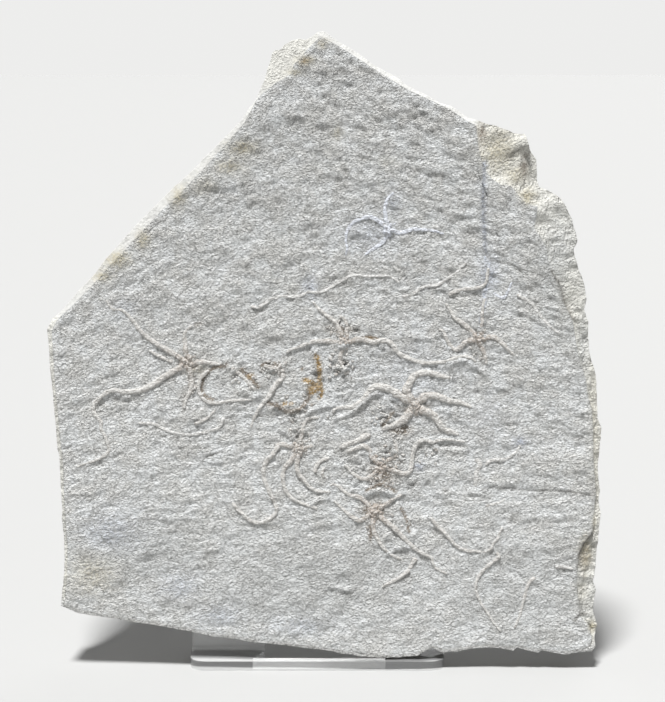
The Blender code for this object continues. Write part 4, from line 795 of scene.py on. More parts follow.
def slab_wall(s, t, depth, in_s, in_t, rows):
    """Rings of the wall, from the outline back and inwards, with thin beds that stand out by
    turns. The inset grows with the way back to the power 1.4, and bulges between its ends."""
    v = np.append(0.02, np.linspace(0.0, 1.0, rows)[1:])[:, None]
    wall_depth = depth + v * (SLAB_THICKNESS - depth)
    round_way = np.arange(len(s)) * 0.5
    beds = noise(round_way / 9.0, wall_depth / 0.7, 51)
    chunks = noise(round_way / 5.0, wall_depth / 3.5, 52)
    ease = np.clip(np.minimum(round_way, round_way[-1] - round_way) / 4.0, 0.0, 1.0)
    bulge = (0.30 * beds + 0.55 * chunks) * ease + 0.25
    inset = np.maximum(WALL_LEAN * v ** 1.4 + bulge * np.sin(math.pi * v) ** 0.7, 0.0)
    return s + in_s * inset, t + in_t * inset, wall_depth


def slab_back(s, t, in_s, in_t, rings, passes=14):
    """The back inside the wall's last ring: a ring of half as many points, then rings of a quarter
    that shrink to a middle point. The outermost of these is smoothed by the passes."""
    half = (s + 0.5 * in_s)[::2], (t + 0.5 * in_t)[::2], np.full(len(s) // 2, SLAB_THICKNESS - 0.05)
    widest = np.stack((s + 1.6 * in_s, t + 1.6 * in_t))[:, ::4]
    for _pass in range(passes):
        widest = 0.5 * widest + 0.25 * (np.roll(widest, 1, axis=1) + np.roll(widest, -1, axis=1))
    scale = np.linspace(1.0, 0.0, rings + 1)[:-1, None]
    back_s, back_t = (np.append(line.mean() + (line - line.mean()) * scale, line.mean())
                      for line in widest)
    waves = 0.45 * noise(back_s / 17.0, back_t / 12.0, 61)
    waves = waves + 0.22 * noise(back_s / 6.0, back_t / 4.5, 62)
    return half, (back_s, back_t, SLAB_THICKNESS - np.abs(waves))


def slab_mesh(name, rows=325, columns=213, wall_rows=9, back_rings=16):
    """The whole slab: the front, a wall of broken stone round it, and a coarser back."""
    s, t, depth, masks = slab_front(rows, columns)
    ring = ring_of(rows, columns)
    count, face_count, front_count = len(ring), rows * columns, len(s)
    inward = inwards(s[-count:], t[-count:])
    wall = slab_wall(s[-count:], t[-count:], depth[-count:], *inward, wall_rows)
    half, back = slab_back(wall[0][-1], wall[1][-1], *inward, back_rings)
    points = np.concatenate([face_to_world(*(line.reshape(-1) for line in part))
                             for part in ((s, t, depth), wall, half, back)])

    around = np.arange(face_count, front_count + wall_rows * count).reshape(-1, count)
    rings = np.concatenate((ring[None], around))
    half_ring = around[-1, -1] + 1 + np.arange(count // 2)
    shrinking = half_ring[-1] + 1 + np.arange(back_rings * count // 4).reshape(back_rings, -1)
    pole = np.full(count // 4, shrinking[-1, -1] + 1)
    face = grid_quads(np.arange(face_count).reshape(rows, columns)).reshape(-1, 4)
    quads = np.concatenate((face, ring_quads(rings), ring_quads(shrinking)))
    triangles = np.concatenate((stitch(rings[-1], half_ring)[:, ::-1],
                                stitch(half_ring, shrinking[0])[:, ::-1],
                                np.stack((shrinking[-1], pole, np.roll(shrinking[-1], -1)), -1)))
    item = add_mesh(name, points, quads, triangles)
    for kind, values in masks.items():
        beyond = np.zeros(len(points) - front_count)
        if kind == "broken":
            beyond += 1.0
            beyond[-len(back[0]):] = 0.45
        add_mask(item, kind, np.append(values, beyond))
    return item


def add_mesh(name, points, quads, triangles=(), smooth=True):
    """A mesh object at the origin from arrays of corners and faces."""
    mesh = bpy.data.meshes.new(name)
    corners = np.append(quads, triangles).astype(np.int32)
    sizes = np.repeat((4, 3), (len(quads), len(triangles)))
    mesh.vertices.add(len(points))
    mesh.vertices.foreach_set("co", np.asarray(points, np.float32).reshape(-1))
    mesh.loops.add(len(corners))
    mesh.loops.foreach_set("vertex_index", corners)
    mesh.polygons.add(len(sizes))
    mesh.polygons.foreach_set("loop_start", (np.cumsum(sizes) - sizes).astype(np.int32))
    mesh.polygons.foreach_set("use_smooth", np.full(len(sizes), smooth))
    mesh.update(calc_edges=True)
    mesh.validate()
    item = bpy.data.objects.new(name, mesh)
    bpy.context.scene.collection.objects.link(item)
    return item


def add_mask(item, name, values):
    """One number from 0 to 1 at each vertex, for a material to read."""
    mask = item.data.attributes.new(name, "FLOAT", "POINT")
    mask.data.foreach_set("value", np.clip(values, 0.0, 1.0).astype(np.float32))


def arm_surface(root_width, tip_width, route, faint=False, sides=14):
    """An arm as a flattened tube along its smoothed route: points, quads, caps, way and flank.

    Each ring is an ellipse of the local width. The width eases from the root's to the tip's with
    the way to the power 1.5, closes in at both ends by a quarter ellipse and swells at each joint.
    The ring's middle lies just above the wrinkled plane; a faint arm is flatter and lies lower.
    The flank is 0 on the crest and 1 where the ring meets the plane; it sets how much shade is painted
    there."""
    curve = smooth_route(route)
    length = lengths_along(curve)
    own_seed = int(7 + 9 * length[-1])
    width = root_width + (tip_width - root_width) * (length / length[-1]) ** 1.5
    width = ARM_SHARE * width
    width = width * (1.0 + 0.05 * np.cos(FULL_TURN * length / ARM_JOINT))
    width = width * (1.0 + 0.40 * noise(length / 1.3, 0.0, own_seed))
    close = np.clip(np.minimum(length, length[-1] - length) / (0.5 * width), 0.0, 1.0)
    width = width * np.sqrt(np.maximum(1.0 - (1.0 - close) ** 2, 0.004))
    ahead = np.gradient(curve, axis=0)
    ahead = ahead / np.hypot(*ahead.T)[:, None]
    angle = np.arange(sides) / sides * FULL_TURN
    across = 0.5 * width[:, None] * np.cos(angle)
    up = (FAINT_HEIGHT if faint else ARM_HEIGHT) * width[:, None] * np.sin(angle)
    s = curve[:, :1] + ahead[:, 1:] * across
    t = curve[:, 1:] - ahead[:, :1] * across
    lift = (0.13 + 0.16 * noise(length / 3.1, 3.3, own_seed)) * (0.5 if faint else 1.0)
    ground = ((1.0 - CALM) * wrinkles(*curve.T) + lift)[:, None]
    rough = 0.20 * noise(s / 0.9, t / 0.8, 71)
    points = face_to_world(s, t, -ground - up - rough).reshape(-1, 3)
    ends = np.stack((points[:sides].mean(0), points[-sides:].mean(0)))
    way = np.append(np.repeat(length, sides), [0.0, length[-1]])
    flank = np.clip(1.0 - 1.15 * np.tile(np.sin(angle), len(curve)), 0.0, 1.0)
    return (np.concatenate((points, ends)), *shell_faces(len(curve), sides), way,
            np.append(flank, [0.5, 0.5]))


def disc_surface(centre, radius, rings=18, sides=64):
    """A disc as a low dome over a five-lobed outline, closed by a flat cone underneath: height
    H (1 - r^2), higher along the five arm roots, with a crumbled skin that fades at its rim."""
    r = np.linspace(0.0, 1.0, rings + 1)[1:, None]
    angle = np.arange(sides) / sides * FULL_TURN
    lobes = np.cos(5.0 * angle + 0.6)
    ragged = 0.16 * noise(2.0 * np.cos(angle) + radius, 2.0 * np.sin(angle), 81)
    reach = radius * r * (1.0 + 0.14 * lobes + ragged)
    s, t = centre[0] + reach * np.cos(angle), centre[1] + reach * np.sin(angle)
    dome = (DISC_HEIGHT + 0.16 * lobes * r) * (1.0 - r ** 2)
    skin = 0.45 * noise(s / 0.9, t / 0.9, 82) + 0.3 * noise(s / 0.5, t / 0.5, 83)
    skin = skin * (1.0 - r ** 4)
    ground = (1.0 - CALM) * wrinkles(s, t) + 0.20 * (1.0 - 1.7 * r ** 3)
    dome_points = face_to_world(s, t, -ground - dome - skin).reshape(-1, 3)
    crown = -(1.0 - CALM) * wrinkles(*np.array(centre)[:, None])[0] - 0.66
    poles = [face_to_world(*centre, depth) for depth in (crown, DISC_ROOT)]
    # Flank: shade is painted in the dips of the crumbled skin and towards the rim
    flank = np.append(np.clip(-2.5 * skin + 0.8 * r ** 4, 0.0, 1.0), [0.0, 1.0])
    return (np.append(dome_points, poles, axis=0), *shell_faces(rings, sides),
            np.zeros(len(flank)), flank)


def crumb_surface(centre, spread, count, seed, rings=5, sides=8):
    """Broken plates strewn about a centre: each a small flat shard, an ellipse whose radius varies
    by the sines of its angles, half sunk in the plane. Their scatter is normal, by the spread."""
    random = np.random.default_rng(seed)
    place = np.asarray(centre) + np.clip(random.normal(size=(count, 2)), -1.7, 1.7) * spread
    size = random.uniform(0.20, 0.48, count)[:, None, None]
    turn_by = random.uniform(0.0, FULL_TURN, count)[:, None, None]
    down = (np.arange(rings) + 1.0)[None, :, None] / (rings + 1.0) * math.pi
    round_way = (np.arange(sides) / sides * FULL_TURN)[None, None]
    lumpy = 1.0 + 0.35 * np.sin(3.0 * round_way + turn_by) * np.sin(2.0 * down + 2.0 * turn_by)
    out = size * lumpy * np.sin(down)
    long_way, short_way = 1.25 * out * np.cos(round_way), 0.75 * out * np.sin(round_way)
    s = place[:, 0, None, None] + long_way * np.cos(turn_by) - short_way * np.sin(turn_by)
    t = place[:, 1, None, None] + long_way * np.sin(turn_by) + short_way * np.cos(turn_by)
    ground = wrinkles(*place.T) * (1.0 - 0.5 * CALM) + random.uniform(-0.10, 0.12, count)
    tilt = 0.20 * long_way * np.sin(5.0 * turn_by)
    depth = -ground[:, None, None] - 0.5 * size * np.cos(down) * lumpy - tilt
    body = np.stack((s, t, depth), -1).reshape(count, rings * sides, 3)
    poles = [np.column_stack((place, side * 0.5 * size[:, 0, 0] - ground)) for side in (-1, 1)]
    every = np.concatenate((body, np.stack(poles, axis=1)), axis=1)
    start = (np.arange(count) * every.shape[1])[:, None, None]
    quads, caps = ((faces + start).reshape(-1, faces.shape[1])
                   for faces in shell_faces(rings, sides))
    way = np.repeat(random.uniform(0.0, 12.0, count), every.shape[1])
    # The crumbs take an even 0.15 of the flank's painted shade
    return face_to_world(*every.reshape(-1, 3).T), quads, caps, way, np.full(len(way), 0.15)


def join_surfaces(name, surfaces, brown):
    """Several closed surfaces as one mesh that faces outwards, with its brown tint fading along
    each arm."""
    points, quads, caps, ways, flanks = (list(parts) for parts in zip(*surfaces))
    start = 0
    for number, part in enumerate(points):
        quads[number] = quads[number] + start
        caps[number] = caps[number] + start
        start += len(part)
    item = add_mesh(name, np.concatenate(points), np.concatenate(quads), np.concatenate(caps))
    add_mask(item, "brown", brown * np.exp(-np.concatenate(ways) / BROWN_FADES_IN))
    # The flank mask says where shade is painted
    add_mask(item, "flank", np.concatenate(flanks))
    turn_outwards(item)
    return item


def turn_outwards(item):
    """Recalculate the faces of closed shells so that they point out."""
    builder = bmesh.new()
    builder.from_mesh(item.data)
    bmesh.ops.recalc_face_normals(builder, faces=builder.faces[:])
    builder.to_mesh(item.data)
    builder.free()


def bend(centre, near, far, start, end, steps):
    """Near and far (y, z) points round a bend between two angles in degrees."""
    angle = np.radians(np.linspace(start, end, steps + 1))[:, None]
    reach = np.concatenate((np.cos(angle), np.sin(angle)), axis=1)
    return np.stack((centre + near * reach, centre + far * reach), axis=1)


def across_sheet(columns, rows):
    """Points (x, y, z) of a sheet from its columns' x and its rows' near and far (y, z)."""
    shape = (len(rows), columns.shape[1], 2)
    x = np.broadcast_to(columns[:, :, None, None], (*shape, 1))
    return np.concatenate((x, np.broadcast_to(rows[:, None], (*shape, 2))), axis=-1).reshape(-1, 3)


def easel_mesh(name):
    """The bent sheet: rows of near and far points along its middle line, six columns across.

    Cells between rows and columns are left out where the cut-out is, from the ledge's strip to the
    hinge. The tongue's rows carry on from the two middle columns of the hinge row."""
    front = Y_FACE - LEDGE_AHEAD
    rest_front = SLAB_THICKNESS + REST_BEHIND
    rest_back = rest_front + SHEET
    outside = BEND_INSIDE + SHEET
    bend_depth = rest_back - outside
    bend_t = (outside - Z_FACE + bend_depth * math.sin(LEAN)) / math.cos(LEAN)
    bend_centre = np.array(lean_point(bend_t, bend_depth))
    flare_end = bend_centre[0] - SHEET
    lean = math.degrees(LEAN)

    ledge_y = np.array([0.0, 0.15, 0.45, 1.0, 1.7, LEDGE_STRIP, 3.2, EASEL_CORNER]) + front
    ledge_y = np.append(ledge_y, flare_end)
    strip_row = 5
    ledge = np.stack([np.column_stack((ledge_y, np.full(len(ledge_y), z))) for z in (SHEET, 0.0)],
                     axis=1)
    curve = bend(bend_centre, BEND_INSIDE, outside, -90.0, -lean, 8)
    from_top = np.array([10.0, 4.0, 3.2, 2.4, 1.7, 1.0, 0.45, 0.15, 0.0])
    rest = np.array([(lean_point(t, rest_front), lean_point(t, rest_back))
                     for t in BACK_REST_TOP - from_top])
    rows = np.concatenate((ledge, curve, rest))
    hinge_row = len(ledge) + len(curve)

    from_end = np.full(len(rows), EASEL_CORNER)
    from_end[:len(ledge)] = np.minimum(ledge_y - front, EASEL_CORNER)
    from_end[hinge_row:] = np.minimum(from_top, EASEL_CORNER)
    cut = EASEL_CORNER - np.sqrt(EASEL_CORNER ** 2 - (EASEL_CORNER - from_end) ** 2)
    flare = np.interp(rows[:, 1, 0], (front + LEDGE_STRIP, flare_end), (NOTCH_FLARE, SAW_CUT))
    flare[len(ledge):] = SAW_CUT
    columns = np.stack((EASEL_LEFT + cut, TONGUE_LEFT - flare, TONGUE_LEFT + 0.0 * cut,
                        TONGUE_RIGHT + 0.0 * cut, TONGUE_RIGHT + flare, EASEL_RIGHT - cut), -1)

    tongue_centre = np.array(lean_point(HINGE, rest_back + BEND_INSIDE))
    tongue = bend(tongue_centre, outside, BEND_INSIDE, 180.0 - lean,
                  180.0 + math.degrees(LEG_SPREAD), 6)[1:]
    foot = tongue[-1].copy()
    foot[:, 0] += foot[:, 1] * math.tan(LEG_SPREAD)
    foot[:, 1] = 0.0
    tongue = np.concatenate((tongue, foot[None]))
    leg_columns = np.tile((TONGUE_LEFT, TONGUE_RIGHT), (len(tongue), 1))
    points = np.concatenate((across_sheet(columns, rows), across_sheet(leg_columns, tongue))) * MM

    pair = np.arange(columns.size).reshape(columns.shape)
    row_at, column_at = np.mgrid[0:len(rows) - 1, 0:5]
    is_open = (row_at >= strip_row) & (row_at < hinge_row) & (column_at >= 1) & (column_at <= 3)
    leg_pair = pair.size + np.arange(leg_columns.size).reshape(-1, 2)
    leg_pair = np.concatenate((pair[hinge_row, 2:4][None], leg_pair))
    cells = np.concatenate((grid_quads(pair)[~is_open], grid_quads(leg_pair).reshape(-1, 4)))

    edges = np.stack((cells, np.roll(cells, -1, axis=1)), -1).reshape(-1, 2)
    _unique, inverse, uses = np.unique(np.sort(edges, axis=1), axis=0, return_inverse=True,
                                       return_counts=True)
    start, end = 2 * edges[uses[inverse.reshape(-1)] == 1].T
    walls = np.stack((start, start + 1, end + 1, end), -1)
    quads = np.concatenate((cells * 2, (cells * 2 + 1)[:, ::-1], walls))
    used, compact = np.unique(quads, return_inverse=True)
    item = add_mesh(name, points[used], compact.reshape(-1, 4), smooth=False)
    turn_outwards(item)
    bevel = item.modifiers.new("polished edges", "BEVEL")
    bevel.width = POLISHED_EDGE * MM
    bevel.segments = 2
    bevel.limit_method = "ANGLE"
    bevel.angle_limit = math.radians(50.0)
    return item


def set_inputs(node, values):
    """Set a node's own sockets by name."""
    for name, value in values.items():
        node.inputs[name].default_value = value


def mapping(nodes, links, source, turn_about, angle, scale, vector_type="TEXTURE"):
    """A Mapping node that turns and scales a vector; as a texture mapping it undoes them."""
    node = nodes.new("ShaderNodeMapping")
    node.vector_type = vector_type
    node.inputs["Rotation"].default_value[turn_about] = angle
    node.inputs["Scale"].default_value = scale
    links.new(source, node.inputs["Vector"])
    return node.outputs["Vector"]


def grain_group():
    """Node group of the stone's grain, in millimetres of the face frame.

    Wrinkle: noise stretched along a slant. Grain: distance to the nearest of scattered points, so
    low in the middle of a grain and high between grains. Streak: noise drawn out upwards.
    Mottle: broad noise for colour."""
    group = bpy.data.node_groups.new("stone_grain", "ShaderNodeTree")
    nodes, links = group.nodes, group.links
    inputs, outputs = nodes.new("NodeGroupInput"), nodes.new("NodeGroupOutput")
    place = nodes.new("ShaderNodeTexCoord").outputs["Object"]
    upright = mapping(nodes, links, place, 0, LEAN, (1.0 / MM,) * 3, "POINT")
    slanted = mapping(nodes, links, upright, 1, math.radians(-9.0), (1.15, 1.0, 1.0))
    drawn = mapping(nodes, links, upright, 1, math.radians(12.0), (1.0, 1.0, 9.0))
    patterns = (("Wrinkle", 0.62, slanted, 2.0, 0.80), ("Grain", 0.62, upright, None, None),
                ("Streak", 0.9, drawn, 2.0, 0.5), ("Mottle", 4.0, upright, 3.0, 0.6))
    for name, size, *_rest in patterns:
        socket = group.interface.new_socket(f"{name} size", in_out="INPUT",
                                            socket_type="NodeSocketFloat")
        socket.default_value = size
    for name, *_rest in patterns:
        group.interface.new_socket(name, in_out="OUTPUT", socket_type="NodeSocketFloat")
    for name, _size, vector, detail, roughness in patterns:
        scale = math_node(group, "DIVIDE", 1.0, inputs.outputs[f"{name} size"])
        if detail is None:
            pattern = nodes.new("ShaderNodeTexVoronoi")
            result = pattern.outputs["Distance"]
        else:
            pattern = nodes.new("ShaderNodeTexNoise")
            set_inputs(pattern, {"Detail": detail, "Roughness": roughness})
            result = pattern.outputs["Fac"]
        links.new(vector, pattern.inputs["Vector"])
        links.new(scale, pattern.inputs["Scale"])
        links.new(result, outputs.inputs[name])
    return group


def math_node(tree, operation, first, second, clamp=False):
    """A Math node; each operand is a socket or a number."""
    node = tree.nodes.new("ShaderNodeMath")
    node.operation = operation
    node.use_clamp = clamp
    for socket, value in zip(node.inputs, (first, second)):
        if isinstance(value, (int, float)):
            socket.default_value = value
        else:
            tree.links.new(value, socket)
    return node.outputs[0]


def times(tree, first, second, clamp=False):
    """Product of two sockets or numbers."""
    return math_node(tree, "MULTIPLY", first, second, clamp)


def plus(tree, *terms):
    """Sum of two or more sockets."""
    total, *others = terms
    for term in others:
        total = math_node(tree, "ADD", total, term)
    return total


def mix_colour(tree, share, first, second):
    """Mix two colours, each a socket or a tuple, by a share."""
    node = tree.nodes.new("ShaderNodeMix")
    node.data_type = "RGBA"
    tree.links.new(share, node.inputs["Factor"])
    for socket, value in zip(node.inputs[6:8], (first, second)):
        if isinstance(value, bpy.types.NodeSocket):
            tree.links.new(value, socket)
        else:
            socket.default_value = (*value, 1.0)
    return node.outputs[2]


def mask_socket(tree, name):
    """A vertex mask of the piece."""
    node = tree.nodes.new("ShaderNodeAttribute")
    node.attribute_name = name
    return node.outputs["Fac"]


def ranged(tree, value, low, high, out_low=0.0, out_high=1.0):
    """Map a value's range to another, clamped."""
    node = tree.nodes.new("ShaderNodeMapRange")
    tree.links.new(value, node.inputs["Value"])
    set_inputs(node, {"From Min": low, "From Max": high, "To Min": out_low, "To Max": out_high})
    return node.outputs["Result"]


def add_bump(tree, shader, height, distance):
    """Relief of a height from 0 to about 1, given the distance in metres that 1 stands for."""
    bump = tree.nodes.new("ShaderNodeBump")
    set_inputs(bump, {"Strength": 1.0, "Distance": distance})
    tree.links.new(height, bump.inputs["Height"])
    tree.links.new(bump.outputs["Normal"], shader.inputs["Normal"])


def mix_by_ray(tree, ray, usual, other, output):
    """One shader for most rays and another for one kind of ray."""
    rays = tree.nodes.new("ShaderNodeLightPath")
    mix = tree.nodes.new("ShaderNodeMixShader")
    tree.links.new(rays.outputs[ray], mix.inputs["Fac"])
    tree.links.new(usual.outputs[0], mix.inputs[1])
    tree.links.new(other.outputs[0], mix.inputs[2])
    tree.links.new(mix.outputs["Shader"], tree.nodes[output].inputs["Surface"])


def new_stone(name, roughness, specular=0.25):
    """A material with a Principled shader and the grain group placed in it."""
    material = bpy.data.materials.new(name)
    material.use_nodes = True
    tree = material.node_tree
    shader = tree.nodes["Principled BSDF"]
    set_inputs(shader, {"Roughness": roughness, "Specular IOR Level": specular})
    grain = tree.nodes.new("ShaderNodeGroup")
    grain.node_tree = bpy.data.node_groups.get("stone_grain") or grain_group()
    return material, tree, shader, grain


def limestone_material(settings):
    """Pale grey stone: mottled and shaded by its own relief, with painted shade in the hollows of
    its wrinkles, between its grains and where its dark mask says, stained, rougher where broken.
    """
    material, tree, shader, grain = new_stone("wrinkled_limestone", 0.93)
    wrinkle, fine, streak, mottle = grain.outputs
    broken, crumbs, smooth = (mask_socket(tree, name) for name in ("broken", "crumbs", "smooth"))
    patchy = ranged(tree, wrinkle, 0.3, 0.65, 0.35, 1.0)
    speckled = ranged(tree, fine, 0.25, 0.65, 0.4, 1.5)
    soft_break = ranged(tree, broken, 0.0, 1.0, 1.0, 0.40)
    tints = [(ranged(tree, mottle, 0.35, 0.65), settings.warm_grey),
             (times(tree, broken, 0.9), settings.fresh_break),
             (ranged(tree, smooth, 0.62, 1.0, 0.0, 0.8), settings.pale_edge)]
    for kind, tint, spread in (("grey", settings.duller_grey, patchy), ("tan", settings.tan, patchy),
                               ("blue", settings.blue, patchy),
                               ("brown", settings.brown, speckled),
                               ("rust", settings.rust, speckled)):
        share = times(tree, times(tree, mask_socket(tree, kind), 1.35), spread, clamp=True)
        tints.append((share, tint))
    # Painted shade: the dark mask darkens the cracks, the moats beside the arms, the gaps between
    # crumbs and the edges that face away
    tints += [(times(tree, mask_socket(tree, "dark"), 0.7), settings.crevice_shade),
              (ranged(tree, crumbs, 0.3, 1.0, 0.0, 0.35), settings.crumb_white),
              # Painted shade: darker where the wrinkle relief is low and between the grains
              (times(tree, ranged(tree, wrinkle, 0.30, 0.60, 0.36, 0.0), soft_break),
               settings.hollow),
              (times(tree, ranged(tree, fine, 0.42, 0.90, 0.0, 0.52), soft_break),
               settings.hollow)]
    colour = settings.cool_grey
    for share, tint in tints:
        colour = mix_colour(tree, share, colour, tint)
    tree.links.new(colour, shader.inputs["Base Color"])

    relief = times(tree, wrinkle, ranged(tree, broken, 0.0, 1.0, 1.0, 0.45))
    grains = times(tree, fine, ranged(tree, broken, 0.0, 1.0, -0.16, -0.14))
    streaks = times(tree, streak, times(tree, broken, 0.5))
    lumps = times(tree, times(tree, fine, crumbs), -0.25)
    height = plus(tree, relief, grains, lumps, streaks)
    height = times(tree, height, ranged(tree, smooth, 0.0, 1.0, 1.0, 0.24))
    height = times(tree, height, ranged(tree, mottle, 0.38, 0.62, 0.60, 1.25))
    add_bump(tree, shader, height, settings.wrinkle_height)
    return material


def calcite_material(name, pale, settings):
    """Fossil arm and disc: stone-coloured calcite, brown where its mask says so, with painted shade
    down its flanks and between its grains."""
    material, tree, shader, grain = new_stone(name, 0.8)
    set_inputs(grain, {"Wrinkle size": 0.8, "Grain size": 0.5})
    wrinkle, fine = grain.outputs["Wrinkle"], grain.outputs["Grain"]
    speckled = ranged(tree, fine, 0.25, 0.65, 0.4, 1.4)
    brown = times(tree, mask_socket(tree, "brown"), speckled, clamp=True)
    patchy = ranged(tree, wrinkle, 0.3, 0.65, 0.4, 1.0)
    flank = times(tree, times(tree, mask_socket(tree, "flank"), patchy), 0.14)
    colour = mix_colour(tree, brown, pale, settings.disc_brown)
    # Painted shade down the flanks and between the grains
    for shade_share in (flank, ranged(tree, fine, 0.30, 0.85, 0.0, 0.35)):
        colour = mix_colour(tree, shade_share, colour, settings.arm_foot_shade)
    tree.links.new(colour, shader.inputs["Base Color"])
    add_bump(tree, shader, plus(tree, wrinkle, times(tree, fine, -0.15)), 0.0007)
    return material


def acrylic_material(settings):
    """Clear acrylic that casts no shadow of its own, with faint rubbed patches in its roughness."""
    material, tree, shader, grain = new_stone("clear_acrylic_sheet", 0.04, 0.5)
    set_inputs(shader, {"Base Color": (*settings.acrylic, 1.0), "Transmission Weight": 0.82,
                        "IOR": 1.49})
    grain.inputs["Mottle size"].default_value = 6.0
    tree.links.new(ranged(tree, grain.outputs["Mottle"], 0.45, 0.7, 0.02, 0.09),
                   shader.inputs["Roughness"])
    passing = tree.nodes.new("ShaderNodeBsdfTransparent")
    mix_by_ray(tree, "Is Shadow Ray", shader, passing, "Material Output")
    return material


def colour_property(name, description, *default):
    """A colour that the sidebar shows."""
    return bpy.props.FloatVectorProperty(name=name, description=description, default=default,
                                         subtype="COLOR", size=3, min=0.0, max=1.0)


def length_property(name, description, default):
    """A length in metres that the sidebar shows."""
    return bpy.props.FloatProperty(name=name, description=description, default=default,
                                   subtype="DISTANCE", unit="LENGTH", min=0.0, precision=5)


class SlabSettings(bpy.types.PropertyGroup):
    """Colours and relief of the limestone."""
    wrinkle_height: length_property("Wrinkle height", "Height of the fine wrinkles", 0.0021)
    cool_grey: colour_property("Cool grey", "Cooler grey of the mottled face", 0.670, 0.684, 0.686)
    warm_grey: colour_property("Warm grey", "Warmer grey of the mottled face", 0.752, 0.748, 0.724)
    # Colour of the painted shade in the low parts of the wrinkles and between the grains
    hollow: colour_property("Hollows", "Darker grey down in the wrinkles", 0.22, 0.22, 0.212)
    # Colour of the painted shade in the cracks, the moats beside the arms, between the crumbs and along
    # edges that face away
    crevice_shade: colour_property("Crevices", "Dirt in the cracks and beside the arms",
                             0.15, 0.135, 0.115)
    crumb_white: colour_property("Crumbs", "Whitish crumbled calcite", 0.72, 0.71, 0.67)
    fresh_break: colour_property("Broken edge", "Grainy stone of the broken edges",
                                 0.655, 0.647, 0.600)
    pale_edge: colour_property("Pale edge", "Smoother stone of the upper edges",
                               0.620, 0.620, 0.605)
    tan: colour_property("Tan stain", "Tan patches near the edges", 0.500, 0.460, 0.350)
    # Darker grey of the patches low on the face and at the right edge
    duller_grey: colour_property("Weathered grey", "Duller grey of the lower face and right edge",
                               0.560, 0.570, 0.565)
    blue: colour_property("Blue tinge", "Faint blue areas of the face", 0.560, 0.600, 0.680)
    brown: colour_property("Brown stain", "Brown stone round the discs", 0.285, 0.238, 0.190)
    rust: colour_property("Rust streak", "Orange-brown iron stain", 0.430, 0.270, 0.085)


class FossilSettings(bpy.types.PropertyGroup):
    """Colours of the animals."""
    arm_pale: colour_property("Arms", "Pale calcite of the arms", 0.592, 0.586, 0.566)
    worn_pale: colour_property("Worn arms", "Whiter calcite of the arms worn nearly level",
                               0.655, 0.655, 0.640)
    faint_pale: colour_property("Faint star", "Bluish calcite of the faint star",
                                0.650, 0.680, 0.735)
    disc_brown: colour_property("Discs", "Brown calcite of the discs", 0.430, 0.385, 0.345)
    # Colour of the painted shade along the foot of the arms, in the discs' dips and between the grains
    arm_foot_shade: colour_property("Arm edges", "Brownish dirt along the foot of the arms",
                              0.180, 0.150, 0.120)


class EaselSettings(bpy.types.PropertyGroup):
    """Colour of the acrylic."""
    acrylic: colour_property("Acrylic", "Tint of the clear sheet", 0.985, 0.99, 0.99)


class StageSettings(bpy.types.PropertyGroup):
    """Floor, lights and camera."""
    floor: colour_property("Floor", "Pale floor", 0.405, 0.405, 0.400)
    key_strength: bpy.props.FloatProperty(name="Key light", min=0.0, default=5.8,
                                          description="Strength of the high soft light")
    camera_distance: length_property("Camera distance", "From the middle of the face", 0.400)


def finish_piece(item, material, node):
    """Give a piece its material, hang it under the root body and hide the solid that it stands for."""
    item.data.materials.append(material)
    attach(item, "root")
    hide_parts(node)


class FOSSIL_OT_make_slab(bpy.types.Operator):
    """Make the limestone slab"""
    bl_idname = "fossil.make_slab"
    bl_label = "Make slab"

    def execute(self, context):
        item = slab_mesh("limestone_slab_surface")
        finish_piece(item, limestone_material(context.scene.fossil_slab),
                     "limestone_slab")
        return {"FINISHED"}


class FOSSIL_OT_make_stars(bpy.types.Operator):
    """Make the brittle stars, each a disc with its arms and broken plates"""
    bl_idname = "fossil.make_stars"
    bl_label = "Make brittle stars"

    def execute(self, context):
        settings = context.scene.fossil_animals
        pale = calcite_material("star_calcite", settings.arm_pale, settings)
        bluish = calcite_material("faint_star_calcite", settings.faint_pale, settings)
        for name, (centre, radius, brown, arms, heaps) in STARS.items():
            surfaces = [disc_surface(centre, DISC_SHARE * radius)]
            surfaces += [arm_surface(*arm, name in FAINT) for arm in arms]
            surfaces += [crumb_surface(*heap) for heap in heaps]
            item = join_surfaces(f"{name}_surface", surfaces, brown)
            finish_piece(item, bluish if name in BLUISH else pale, name)
        return {"FINISHED"}


class FOSSIL_OT_make_loose_arms(bpy.types.Operator):
    """Make the arms that lie apart from any disc"""
    bl_idname = "fossil.make_loose_arms"
    bl_label = "Make loose arms"

    def execute(self, context):
        settings = context.scene.fossil_animals
        pale = calcite_material("loose_arm_calcite", settings.arm_pale, settings)
        worn = calcite_material("worn_arm_calcite", settings.worn_pale, settings)
        bluish = calcite_material("bluish_arm_calcite", settings.faint_pale, settings)
        for name, arm in LOOSE_ARMS.items():
            material = worn if name in FAINT else pale
            if name in BLUISH:
                material = bluish
            item = join_surfaces(f"{name}_surface", [arm_surface(*arm, name in FAINT)],
                                 LOOSE_ARM_BROWN)
            finish_piece(item, material, name)
        return {"FINISHED"}


class FOSSIL_OT_make_easel(bpy.types.Operator):
    """Make the bent acrylic easel"""
    bl_idname = "fossil.make_easel"
    bl_label = "Make easel"

    def execute(self, context):
        item = easel_mesh("acrylic_easel_surface")
        finish_piece(item, acrylic_material(context.scene.fossil_easel),
                     "acrylic_easel")
        return {"FINISHED"}


def look_along(direction):
    """Turn of a lamp or camera that looks in a direction."""
    return direction.to_track_quat("-Z", "Y").to_euler()


def add_light(name, towards, angle, strength):
    """A soft distant light that comes from a direction, with its apparent size in degrees."""
    light = bpy.data.lights.new(name, "SUN")
    light.angle = math.radians(angle)
    light.energy = strength
    item = bpy.data.objects.new(name, light)
    item.location = Vector(towards)
    item.rotation_euler = look_along(-Vector(towards))
    bpy.context.scene.collection.objects.link(item)


